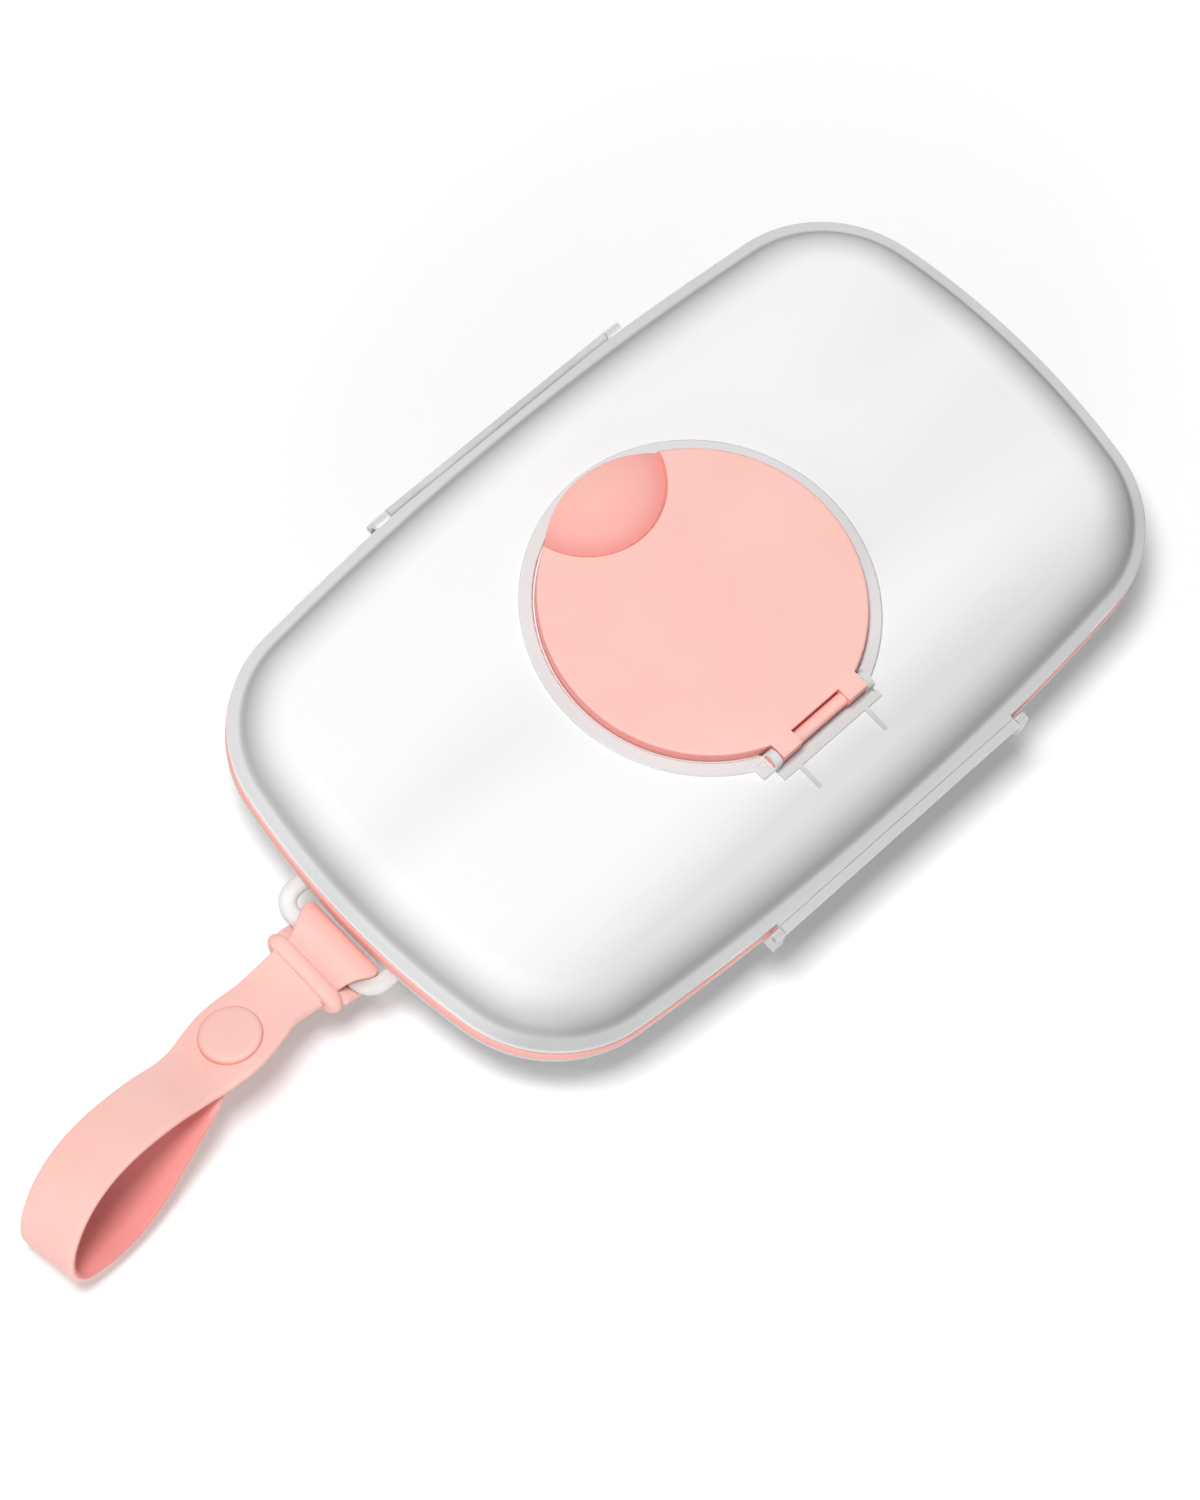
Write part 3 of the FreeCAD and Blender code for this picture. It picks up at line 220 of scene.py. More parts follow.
def multiplied(tree, first, second):
    """One colour seen through another."""
    mix = add_node(tree, "Mix", data_type="RGBA", blend_type="MULTIPLY")
    mix.inputs["Factor"].default_value = 1.0
    tree.links.new(first, mix.inputs[6])
    tree.links.new(second, mix.inputs[7])
    return mix.outputs[2]


tray_tree, tray_shader, clear_plastic = new_material("clear_tray_plastic")
tray_cloud = colour_ramp(tray_tree, object_noise(tray_tree, SHELL_CLOUD_SIZE, 2.0), TRAY_CLOUD)
tray_edge = add_node(tray_tree, "LayerWeight").outputs["Facing"]
# Painted shade, greyer where the wall is seen edge-on.
tray_painted_edge_shade = colour_ramp(tray_tree, tray_edge, TRAY_PAINTED_EDGE_SHADE)
tray_tree.links.new(multiplied(tray_tree, tray_painted_edge_shade, tray_cloud), tray_shader.inputs["Base Color"])
tray_tree.links.new(mapped(tray_tree, tray_edge, WHOLE_RANGE, TRAY_OPACITY), tray_shader.inputs["Alpha"])
vary_roughness(tray_tree, tray_shader, SHELL_GLOSS_SIZE, TRAY_ROUGHNESS)
add_bump(tray_tree, tray_shader, object_noise(tray_tree, SHELL_RIPPLE_SIZE, 2.0), SHELL_RIPPLE)
tray_shader.inputs["IOR"].default_value = SHELL_IOR
dress("base_tray", clear_plastic)


# Case hinge pin
# A drawn steel wire pressed through the tray's two hinge lugs, which the cover's long knuckle
# turns on.
STEEL_DARK = (0.46, 0.46, 0.47, 1.0)
STEEL_LIGHT = (0.68, 0.68, 0.69, 1.0)
STEEL_ROUGHNESS = (0.26, 0.42)
STEEL_GLOSS_SIZE = 400.0
DRAW_LINES = (40.0, 2600.0, 2600.0)
DRAW_RELIEF = (0.3, 0.00002)

steel_tree, steel_shader, steel_wire = new_material("drawn_steel_wire")
steel_place = add_node(steel_tree, "TexCoord")
steel_stretch = add_node(steel_tree, "Mapping")
steel_stretch.inputs["Scale"].default_value = DRAW_LINES
steel_tree.links.new(steel_place.outputs["Object"], steel_stretch.inputs["Vector"])
steel_lines = add_node(steel_tree, "TexNoise")
steel_lines.inputs["Scale"].default_value = 1.0
steel_tree.links.new(steel_stretch.outputs["Vector"], steel_lines.inputs["Vector"])
steel_tree.links.new(
    colour_ramp(steel_tree, steel_lines.outputs["Fac"], [(0.35, STEEL_DARK), (0.65, STEEL_LIGHT)]),
    steel_shader.inputs["Base Color"])
vary_roughness(steel_tree, steel_shader, STEEL_GLOSS_SIZE, STEEL_ROUGHNESS)
add_bump(steel_tree, steel_shader, steel_lines.outputs["Fac"], DRAW_RELIEF)
steel_shader.inputs["Metallic"].default_value = 1.0
dress("case_hinge_pin", steel_wire)


# Rim gasket
# The pink silicone band that lies on the tray's flange, behind its rib, and seals against the
# cover's flange. It is set back along the hinge, and its outer face is slightly crowned.
MM = 0.001
CASE_HALF_LENGTH = 100.0 * MM
CASE_HALF_WIDTH = 60.1 * MM
SIDE_ARC_RADIUS = 696.0 * MM
END_ARC_RADIUS = 177.5 * MM
CORNER_RADIUS = 29.65 * MM
GASKET_BOTTOM = 21.5 * MM
GASKET_TOP = 24.8 * MM
GASKET_WIDTH = 3.1 * MM
GASKET_EDGE = 0.4 * MM
GASKET_CROWN = 0.25 * MM
GASKET_HINGE_LINE = 59.75 * MM
GASKET_HINGE_END = 37.8 * MM
GASKET_HINGE_SHARE = 0.25
GASKET_ARC_STEPS = 60
GASKET_EDGE_STEPS = 6
GASKET_DEEP = (0.975, 0.430, 0.385, 1.0)
GASKET_PALE = (0.985, 0.470, 0.420, 1.0)
SILICONE_MOTTLE_SIZE = 55.0
SILICONE_GLOSS_SIZE = 220.0
SILICONE_ROUGHNESS = (0.50, 0.66)
SILICONE_SKIN_SIZE = 2600.0
SILICONE_SKIN = (0.12, 0.00004)
SILICONE_LIGHT_LET_IN = 0.06
SILICONE_LIGHT_REACH = (0.0016, 0.0007, 0.0006)
SILICONE_IOR = 1.41


def silicone(name, deep, pale):
    """Matte moulded silicone: a soft mottling, a fine skin and a little light let in."""
    tree, shader, material = new_material(name)
    mottle = colour_ramp(tree, object_noise(tree, SILICONE_MOTTLE_SIZE, 4.0), [(0.30, deep), (0.70, pale)])
    tree.links.new(mottle, shader.inputs["Base Color"])
    vary_roughness(tree, shader, SILICONE_GLOSS_SIZE, SILICONE_ROUGHNESS)
    add_bump(tree, shader, object_noise(tree, SILICONE_SKIN_SIZE, 3.0), SILICONE_SKIN)
    shader.inputs["Subsurface Weight"].default_value = SILICONE_LIGHT_LET_IN
    shader.inputs["Subsurface Radius"].default_value = SILICONE_LIGHT_REACH
    shader.inputs["Subsurface Scale"].default_value = 1.0
    shader.inputs["IOR"].default_value = SILICONE_IOR
    return material


def case_outline(steps):
    """Arcs of the case outline, anticlockwise, as (centre, radius, angle) at even steps."""
    side_y = CASE_HALF_WIDTH - SIDE_ARC_RADIUS
    end_x = CASE_HALF_LENGTH - END_ARC_RADIUS
    to_side = SIDE_ARC_RADIUS - CORNER_RADIUS
    to_end = END_ARC_RADIUS - CORNER_RADIUS
    apart = math.hypot(end_x, side_y)
    along = (apart ** 2 + to_side ** 2 - to_end ** 2) / (2 * apart)
    across = math.sqrt(to_side ** 2 - along ** 2)
    line = Vector((end_x, -side_y)) / apart
    corner = Vector((0.0, side_y)) + line * along + Vector((-line.y, line.x)) * across
    if corner.x < 0:
        corner = Vector((0.0, side_y)) + line * along - Vector((-line.y, line.x)) * across
    end_half = math.atan2(corner.y, corner.x - end_x)
    side_half = math.atan2(corner.x, corner.y - side_y)
    quarter = math.pi / 2
    stations = []
    for turn, centre, radius, half in (
            (0, Vector((end_x, 0.0)), END_ARC_RADIUS, end_half),
            (1, Vector((0.0, side_y)), SIDE_ARC_RADIUS, side_half),
            (2, Vector((-end_x, 0.0)), END_ARC_RADIUS, end_half),
            (3, Vector((0.0, -side_y)), SIDE_ARC_RADIUS, side_half)):
        middle = turn * quarter
        for i in range(steps):
            stations.append((centre, radius, middle - half + 2 * half * i / steps))
        sign_x = -1 if turn in (1, 2) else 1
        sign_y = -1 if turn in (2, 3) else 1
        turn_centre = Vector((sign_x * corner.x, sign_y * corner.y))
        sweep = quarter - side_half - end_half
        for i in range(steps):
            stations.append((turn_centre, CORNER_RADIUS, middle + half + sweep * i / steps))
    return stations


def rounded_rectangle(half_width, half_height, radius, steps=5):
    """Points round a rectangle with rounded corners, anticlockwise from its lower right."""
    points = []
    for turn, sign_x, sign_y in ((3, 1, -1), (0, 1, 1), (1, -1, 1), (2, -1, -1)):
        for i in range(steps + 1):
            angle = (turn + i / steps) * math.pi / 2
            points.append((sign_x * (half_width - radius) + radius * math.cos(angle),
                           sign_y * (half_height - radius) + radius * math.sin(angle)))
    return points


def skinned(name, rings, closed, body, material):
    """A smooth piece skinned over rings of points, either a closed loop or capped at both ends."""
    count = len(rings[0])
    faces = []
    for i in range(len(rings) if closed else len(rings) - 1):
        after = (i + 1) % len(rings)
        for k in range(count):
            beside = (k + 1) % count
            faces.append((i * count + k, after * count + k, after * count + beside, i * count + beside))
    if not closed:
        last = (len(rings) - 1) * count
        faces.append(tuple(range(count)))
        faces.append(tuple(last + k for k in reversed(range(count))))
    mesh = bpy.data.meshes.new(name)
    mesh.from_pydata([point for ring in rings for point in ring], [], faces)
    shape = bmesh.new()
    shape.from_mesh(mesh)
    bmesh.ops.recalc_face_normals(shape, faces=shape.faces)
    shape.to_mesh(mesh)
    shape.free()
    mesh.polygons.foreach_set("use_smooth", [True] * len(mesh.polygons))
    mesh.materials.append(material)
    piece = bpy.data.objects.new(name, mesh)
    bpy.context.scene.collection.objects.link(piece)
    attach(piece, body)
    return piece


gasket_silicone = silicone("gasket_silicone", GASKET_DEEP, GASKET_PALE)
gasket_half_height = (GASKET_TOP - GASKET_BOTTOM) / 2
gasket_section = []
for across, rise in rounded_rectangle(GASKET_WIDTH / 2, gasket_half_height, GASKET_EDGE, GASKET_EDGE_STEPS):
    inset = GASKET_WIDTH / 2 - across
    if across > 0:
        inset += GASKET_CROWN * ((rise / gasket_half_height) ** 2 - 1)
    gasket_section.append((inset, gasket_half_height + GASKET_BOTTOM + rise))
gasket_rings = []
for centre, radius, angle in case_outline(GASKET_ARC_STEPS):
    ring = []
    for inset, height in gasket_section:
        x = centre.x + (radius - inset) * math.cos(angle)
        y = centre.y + (radius - inset) * math.sin(angle)
        if y > 0 and abs(x) < GASKET_HINGE_END:
            y = min(y, GASKET_HINGE_LINE - inset * GASKET_HINGE_SHARE)
        ring.append((x, y, height))
    gasket_rings.append(ring)
gasket = skinned("rim_gasket_band", gasket_rings, True, "base", gasket_silicone)
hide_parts("rim_gasket")


# Cover
# The upper shell: a soft crown over the flange, the long hinge knuckle at the back, and the
# collar, lugs and stop plate round the flip lid, all in one moulding of milky clear plastic.
# Over the rim, round the collar and along the hinge side its colour is painted grey: painted shade.
COVER_RISE = (25.0 * MM, 34.5 * MM)
# Painted shade over the cover's height: grey at the crown's root and round the collar.
COVER_HEIGHT_PAINTED_SHADE = (
    (0.000, 0.98), (0.134, 0.98), (0.150, 0.75), (0.200, 0.61), (0.260, 0.48), (0.340, 0.45),
    (0.450, 0.55), (0.580, 0.66), (0.720, 0.80), (0.860, 0.95), (0.895, 1.00), (0.920, 0.76),
    (1.000, 0.82))
# Painted shade, greyer towards the hinge side.
COVER_HINGE_SIDE = (28.0 * MM, 60.0 * MM)
COVER_HINGE_PAINTED_SHADE = ((0.00, 1.00), (0.25, 0.95), (0.52, 0.80), (0.80, 0.82), (1.00, 0.92))
COVER_OPACITY = 0.91
COVER_ROUGHNESS = (0.26, 0.38)
# Painted reflections: soft diagonal streaks, lighter and greyer, in the cover's colour.
COVER_PAINTED_REFLECTION_STREAKS = ((0.34, (0.93, 0.935, 0.935, 1.0)), (0.60, WHITE))
STREAK_TURN = math.radians(38.0)
STREAK_SCALE = (9.0, 34.0, 9.0)


def grey_ramp(tree, value, stops):
    """Greys laid over a value between 0 and 1."""
    return colour_ramp(tree, value, [(share, (grey, grey, grey, 1.0)) for share, grey in stops])


cover_tree, cover_shader, cover_plastic = new_material("milky_cover_plastic")
cover_place = add_node(cover_tree, "TexCoord")
cover_axes = add_node(cover_tree, "SeparateXYZ")
cover_tree.links.new(cover_place.outputs["Object"], cover_axes.inputs["Vector"])
cover_height = mapped(cover_tree, cover_axes.outputs["Z"], COVER_RISE, WHOLE_RANGE)
cover_back = mapped(cover_tree, cover_axes.outputs["Y"], COVER_HINGE_SIDE, WHOLE_RANGE)
# Painted shade, from height and from nearness to the hinge side.
cover_painted_shade = multiplied(
    cover_tree, grey_ramp(cover_tree, cover_height, COVER_HEIGHT_PAINTED_SHADE),
    grey_ramp(cover_tree, cover_back, COVER_HINGE_PAINTED_SHADE))
cover_turn = add_node(cover_tree, "Mapping")
cover_turn.inputs["Rotation"].default_value = (0.0, 0.0, STREAK_TURN)
cover_turn.inputs["Scale"].default_value = STREAK_SCALE
cover_tree.links.new(cover_place.outputs["Object"], cover_turn.inputs["Vector"])
cover_streak_noise = add_node(cover_tree, "TexNoise")
cover_streak_noise.inputs["Scale"].default_value = 1.0
cover_streak_noise.inputs["Detail"].default_value = 1.0
cover_tree.links.new(cover_turn.outputs["Vector"], cover_streak_noise.inputs["Vector"])
# Painted reflection streaks.
cover_painted_reflection_streaks = colour_ramp(cover_tree, cover_streak_noise.outputs["Fac"], COVER_PAINTED_REFLECTION_STREAKS)
cover_tree.links.new(multiplied(cover_tree, cover_painted_shade, cover_painted_reflection_streaks), cover_shader.inputs["Base Color"])
vary_roughness(cover_tree, cover_shader, SHELL_GLOSS_SIZE, COVER_ROUGHNESS)
add_bump(cover_tree, cover_shader, object_noise(cover_tree, SHELL_RIPPLE_SIZE, 2.0), SHELL_RIPPLE)
cover_shader.inputs["Alpha"].default_value = COVER_OPACITY
cover_shader.inputs["IOR"].default_value = SHELL_IOR
dress("cover", cover_plastic)


# Latch
# A milky clear flap that hangs on a thin steel wire at the front edge; its bead snaps under the
# tray's flange.
LATCH_CLOUDY = (0.72, 0.725, 0.725, 1.0)
LATCH_WHITE = (0.84, 0.84, 0.84, 1.0)
LATCH_CLOUD_SIZE = 90.0
LATCH_OPACITY = 0.75
LATCH_ROUGHNESS = (0.22, 0.34)

latch_tree, latch_shader, latch_plastic = new_material("milky_latch_plastic")
latch_tone = colour_ramp(
    latch_tree, object_noise(latch_tree, LATCH_CLOUD_SIZE, 2.0), [(0.30, LATCH_CLOUDY), (0.65, LATCH_WHITE)])
latch_tree.links.new(latch_tone, latch_shader.inputs["Base Color"])
vary_roughness(latch_tree, latch_shader, SHELL_GLOSS_SIZE, LATCH_ROUGHNESS)
add_bump(latch_tree, latch_shader, object_noise(latch_tree, SHELL_RIPPLE_SIZE, 2.0), SHELL_RIPPLE)
latch_shader.inputs["Alpha"].default_value = LATCH_OPACITY
latch_shader.inputs["IOR"].default_value = SHELL_IOR
dress("latch_flap", latch_plastic)
dress("latch_pin", steel_wire)


# Dispensing membrane
# A thin white silicone disc under the mouth, with a round-ended slot whose lips are thickened
# so that they grip the wipe. A clear ring pushed into the cover holds its rim.
MEMBRANE_RADIUS = 21.4 * MM
MEMBRANE_BOTTOM = 30.9 * MM
MEMBRANE_THICKNESS = 1.0 * MM
SLOT_HALF_LENGTH = 15.0 * MM
SLOT_HALF_WIDTH = 3.0 * MM
SLOT_SPREAD = 1.6
MEMBRANE_STEPS = 120
MEMBRANE_WHITE = (0.86, 0.86, 0.85, 1.0)
MEMBRANE_SHADE = (0.80, 0.80, 0.79, 1.0)
MEMBRANE_SHARES = (
    (0.00, 0.45), (0.00, 0.85), (0.02, 1.00), (0.06, 1.00), (0.10, 0.92), (0.16, 0.70),
    (0.30, 0.62), (0.60, 0.62), (0.80, 0.66), (0.88, 0.96), (0.98, 1.00), (1.00, 0.92))

white_silicone = silicone("white_silicone", MEMBRANE_SHADE, MEMBRANE_WHITE)
membrane_rings = []
for i in range(MEMBRANE_STEPS):
    angle = 2 * math.pi * i / MEMBRANE_STEPS
    rim = Vector((MEMBRANE_RADIUS * math.cos(angle), MEMBRANE_RADIUS * math.sin(angle)))
    end_x = SLOT_HALF_LENGTH - SLOT_HALF_WIDTH
    middle = Vector((max(-end_x, min(end_x, rim.x * end_x / MEMBRANE_RADIUS * SLOT_SPREAD)), 0.0))
    lip = middle + (rim - middle).normalized() * SLOT_HALF_WIDTH
    upper = []
    lower = []
    for share, rise in MEMBRANE_SHARES:
        place = lip.lerp(rim, share)
        spread = MEMBRANE_THICKNESS / 2 * rise
        upper.append((place.x, place.y, MEMBRANE_BOTTOM + MEMBRANE_THICKNESS / 2 + spread))
        lower.append((place.x, place.y, MEMBRANE_BOTTOM + MEMBRANE_THICKNESS / 2 - spread))
    membrane_rings.append(upper + lower[::-1])
membrane = skinned("membrane_disc", membrane_rings, True, "cover", white_silicone)
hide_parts("dispensing_membrane")
dress("membrane_ring", clear_plastic)


# Flip lid
# A pink moulded cap with a fine groove round its skirt, a thumb dish at the front edge and two
# ears at the back that turn on a pink rod held in the cover's lugs. Its upright walls are painted
# a deeper pink, a painted shade.
LID_DEEP = (0.945, 0.550, 0.488, 1.0)
LID_PALE = (0.960, 0.585, 0.524, 1.0)
LID_SIDE_PAINTED_SHADE = (0.95, 0.60, 0.59, 1.0)
LID_MOTTLE_SIZE = 40.0
PINK_GLOSS_SIZE = 150.0
LID_ROUGHNESS = (0.40, 0.50)
PINK_GRAIN_SIZE = 1800.0
LID_GRAIN = (0.10, 0.00004)

lid_tree, lid_shader, pink_plastic = new_material("pink_lid_plastic")
lid_place = add_node(lid_tree, "TexCoord")
lid_facing = add_node(lid_tree, "SeparateXYZ")
lid_tree.links.new(lid_place.outputs["Normal"], lid_facing.inputs["Vector"])
lid_level = add_node(lid_tree, "Math", operation="ABSOLUTE")
lid_tree.links.new(lid_facing.outputs["Z"], lid_level.inputs[0])
# Painted shade: upright faces are tinted a deeper pink than the top.
lid_side_painted_shade = colour_ramp(lid_tree, lid_level.outputs[0], [(0.20, LID_SIDE_PAINTED_SHADE), (0.90, WHITE)])
lid_mottle = colour_ramp(
    lid_tree, object_noise(lid_tree, LID_MOTTLE_SIZE, 3.0), [(0.30, LID_DEEP), (0.70, LID_PALE)])
lid_tree.links.new(multiplied(lid_tree, lid_mottle, lid_side_painted_shade), lid_shader.inputs["Base Color"])
vary_roughness(lid_tree, lid_shader, PINK_GLOSS_SIZE, LID_ROUGHNESS)
add_bump(lid_tree, lid_shader, object_noise(lid_tree, PINK_GRAIN_SIZE, 2.0), LID_GRAIN)
for node in ("lid", "lid_hinge_pin"):
    dress(node, pink_plastic)


# Thumb pad
# A pillow-shaped pad of deeper pink, set into the dish at the lid's front edge; its colour
# is darkened towards the groove where it meets the lid, a painted shade.
PAD_AXIS = Vector((0.0, -35.9)) * MM
PAD_ARC = 17.1 * MM
LIP_AXIS = Vector((0.0, -13.0)) * MM
LIP_ARC = 24.0 * MM
PAD_MIDDLE = Vector((0.0, -29.0)) * MM
PAD_TOP = 37.76 * MM
PAD_RIM = 36.5 * MM
PAD_PUFF = 2.6
PAD_UNDERSIDE = (1.0, 0.98, 0.6, 0.1)
PAD_ARC_STEPS = 40
PAD_RISE_STEPS = 24
PAD_ROUGHNESS = (0.36, 0.46)
PAD_GRAIN = (0.08, 0.00004)
DISH_FLOOR = 35.6 * MM
DISH_FLAT = 6.0 * MM
DISH_SLOPE = 0.054
# The pad's own deeper pink, with painted shade darkening it towards the groove.
PAD_TONES_AND_PAINTED_SHADE = (
    (0.00, (0.955, 0.510, 0.450, 1.0)), (0.45, (0.955, 0.490, 0.430, 1.0)),
    (0.75, (0.940, 0.440, 0.395, 1.0)), (0.97, (0.860, 0.340, 0.310, 1.0)))


def dish_height(place):
    """Height of the dish's floor under a point of the pad."""
    return DISH_FLOOR + DISH_SLOPE * max((place - PAD_AXIS).length - DISH_FLAT, 0.0)


pad_tree, pad_shader, pad_plastic = new_material("thumb_pad_plastic")
pad_place = add_node(pad_tree, "TexCoord")
pad_flat = add_node(pad_tree, "VectorMath", operation="MULTIPLY")
pad_flat.inputs[1].default_value = (1.0, 1.0, 0.0)
pad_tree.links.new(pad_place.outputs["Object"], pad_flat.inputs[0])
pad_out = add_node(pad_tree, "VectorMath", operation="DISTANCE")
pad_out.inputs[1].default_value = PAD_AXIS.to_3d()
pad_tree.links.new(pad_flat.outputs["Vector"], pad_out.inputs[0])
pad_share = add_node(pad_tree, "Math", operation="DIVIDE")
pad_share.inputs[1].default_value = PAD_ARC
pad_tree.links.new(pad_out.outputs["Value"], pad_share.inputs[0])
pad_tone_and_painted_shade = colour_ramp(pad_tree, pad_share.outputs[0], PAD_TONES_AND_PAINTED_SHADE)
pad_tree.links.new(pad_tone_and_painted_shade, pad_shader.inputs["Base Color"])
vary_roughness(pad_tree, pad_shader, PINK_GLOSS_SIZE, PAD_ROUGHNESS)
add_bump(pad_tree, pad_shader, object_noise(pad_tree, PINK_GRAIN_SIZE, 2.0), PAD_GRAIN)

axes_apart = LIP_AXIS.y - PAD_AXIS.y
corner_y = (PAD_ARC ** 2 - LIP_ARC ** 2 + axes_apart ** 2) / (2 * axes_apart)
corner_x = math.sqrt(PAD_ARC ** 2 - corner_y ** 2)
pad_start = math.atan2(corner_y, corner_x)
lip_start = math.atan2(axes_apart - corner_y, corner_x)
pad_outline = []
for axis, reach, start, end in ((PAD_AXIS, PAD_ARC, pad_start, math.pi - pad_start),
                                (LIP_AXIS, LIP_ARC, lip_start - math.pi, -lip_start)):
    for i in range(PAD_ARC_STEPS):
        angle = start + (end - start) * i / PAD_ARC_STEPS
        pad_outline.append(axis + Vector((math.cos(angle), math.sin(angle))) * reach)
pad_rings = []
for i in range(1, PAD_RISE_STEPS + 1):
    share = math.sin(i / PAD_RISE_STEPS * math.pi / 2)
    height = PAD_RIM + (PAD_TOP - PAD_RIM) * (1 - share ** PAD_PUFF)
    upper_ring = [PAD_MIDDLE.lerp(place, share) for place in pad_outline]
    pad_rings.append([(place.x, place.y, height) for place in upper_ring])
for share in PAD_UNDERSIDE:
    lower_ring = [PAD_MIDDLE.lerp(place, share) for place in pad_outline]
    pad_rings.append([(place.x, place.y, dish_height(place)) for place in lower_ring])
pad = skinned("thumb_pad_pillow", pad_rings, False, "lid", pad_plastic)
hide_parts("thumb_pad")


# Lid seal
# A soft ring pressed inside the rib under the lid, with a rounded lip that comes down round
# the neck of the dispensing opening.
SEAL_INNER = 21.3 * MM
SEAL_OUTER = 23.4 * MM
SEAL_BOTTOM = 33.8 * MM
SEAL_TOP = 35.26 * MM
SEAL_ROUNDING = 0.6
SEAL_STEPS = 96

seal_half = (SEAL_OUTER - SEAL_INNER) / 2
seal_rise = (SEAL_TOP - SEAL_BOTTOM) / 2
seal_rings = []
for i in range(SEAL_STEPS):
    angle = 2 * math.pi * i / SEAL_STEPS
    ring = []
    for across, rise in rounded_rectangle(seal_half, seal_rise, seal_rise * SEAL_ROUNDING):
        reach = SEAL_INNER + seal_half + across
        ring.append((reach * math.cos(angle), reach * math.sin(angle), SEAL_BOTTOM + seal_rise + rise))
    seal_rings.append(ring)
seal = skinned("lid_seal_ring", seal_rings, True, "lid", gasket_silicone)
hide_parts("lid_seal")


# Strap
# One moulded band of pink silicone. Its end is folded round the bail and lies double under the
# keeper, then the band twists, runs out to a loop, and comes back under itself to the snap. Inside
# the loop it is painted a deeper pink, a painted shade.
BAIL_PLACE = Vector((105.4, 0.9, 19.2)) * MM
FOLD_SHIFT = 0.6 * MM
FOLD_SHIFT_END = 8.0 * MM
EYE_BACK = 4.1 * MM
EYE_RISE = 3.5 * MM
EYE_DROP = 3.1 * MM
EYE_HALF_WIDTH = 10.3 * MM
EYE_CORNER = 2.4 * MM
LAYER_RISE = 0.9 * MM
EYE_LEVEL_END = 0.3 * MM
NECK_LEVEL_START = 5.2 * MM
TOP_TAPER = (-3.2 * MM, 4.6 * MM)
UNDER_TAPER = (4.6 * MM, 5.8 * MM)
NECK_END = 9.2 * MM
BAND_HALF_WIDTH = 7.5 * MM
BAND_HALF_THICKNESS = 0.9 * MM
BAND_EDGE = 0.75 * MM
BAND_YAW = math.radians(4.0)
BAND_ROLL = math.radians(20.0)
ROLL_LENGTH = 9.5 * MM
STRAP_REACH = 73.4 * MM
LOOP_HEIGHT = 23.0 * MM
SNAP_PLACE = 18.3 * MM
SNAP_BULGE = 1.8 * MM
SNAP_BULGE_REACH = 15.0 * MM
TAIL_HALF_WIDTH = 6.6 * MM
TAIL_ROUNDING = 4.0 * MM
SNAP_FLAT = 8.0 * MM
TAIL_DROP = 2.5 * MM
FOLD_STEPS = 20
EYE_STEPS = 40
FLAT_STEPS = 30
LOOP_STEPS = 10
TAIL_STEPS = 24
SLOPE_STEP = 0.05 * MM
LOOP_SHARES = (
    (0.440, 0.048), (0.538, 0.157), (0.627, 0.220), (0.708, 0.250), (0.794, 0.226), (0.877, 0.124),
    (0.944, -0.052), (0.989, -0.270), (1.000, -0.426), (0.981, -0.600), (0.902, -0.717),
    (0.811, -0.752), (0.692, -0.670), (0.589, -0.500), (0.497, -0.317), (0.405, -0.170))
SILICONE_DEEP = (0.955, 0.545, 0.485, 1.0)
SILICONE_PALE = (0.970, 0.600, 0.540, 1.0)
# Painted shade inside the loop.
LOOP_INSIDE_PAINTED_SHADE = (0.84, 0.54, 0.56, 1.0)

pink_silicone = silicone("pink_silicone", SILICONE_DEEP, SILICONE_PALE)
strap_tree = pink_silicone.node_tree
strap_colour = strap_tree.nodes["Principled BSDF"].inputs["Base Color"]
strap_mottle = strap_colour.links[0].from_socket
# Painted shade: faces inside the loop are tinted deeper.
strap_inside = add_node(strap_tree, "Attribute", attribute_name="inside")
strap_painted_shade = colour_ramp(strap_tree, strap_inside.outputs["Fac"], [(0.0, WHITE), (1.0, LOOP_INSIDE_PAINTED_SHADE)])
strap_tree.links.new(multiplied(strap_tree, strap_mottle, strap_painted_shade), strap_colour)


def ease(share):
    """A share between 0 and 1 with a soft start and end."""
    share = min(max(share, 0.0), 1.0)
    return share * share * (3 - 2 * share)


def band_ring(centre, width, normal, half_width):
    """The band's rounded section at one place."""
    return [centre + width * across + normal * rise
            for across, rise in rounded_rectangle(half_width, BAND_HALF_THICKNESS, BAND_EDGE)]


def eye_half_width(x, side):
    """Half the width of the folded end: rounded corners at the bail, then a hollow taper."""
    from_back = x + EYE_BACK + BAND_HALF_THICKNESS
    wide = EYE_HALF_WIDTH
    if from_back < EYE_CORNER:
        wide -= EYE_CORNER - math.sqrt(EYE_CORNER ** 2 - (EYE_CORNER - from_back) ** 2)
    start, end = TOP_TAPER if side > 0 else UNDER_TAPER
    return wide + (BAND_HALF_WIDTH - EYE_HALF_WIDTH) * ease((x - start) / (end - start))


def band_frame(along, rise):
    """Place, outward direction, width direction and face direction of the band past the keeper."""
    roll = BAND_ROLL * ease(along / ROLL_LENGTH)
    out = Vector((math.cos(BAND_YAW), math.sin(BAND_YAW), 0.0))
    level = Vector((-math.sin(BAND_YAW), math.cos(BAND_YAW), 0.0))
    width = level * math.cos(roll) + Vector((0.0, 0.0, math.sin(roll)))
    up = Vector((0.0, 0.0, math.cos(roll))) - level * math.sin(roll)
    aside = FOLD_SHIFT * (1 - ease(along / FOLD_SHIFT_END))
    anchor = BAIL_PLACE + Vector((NECK_END, aside, LAYER_RISE))
    return anchor + out * along + up * rise, out, width, up


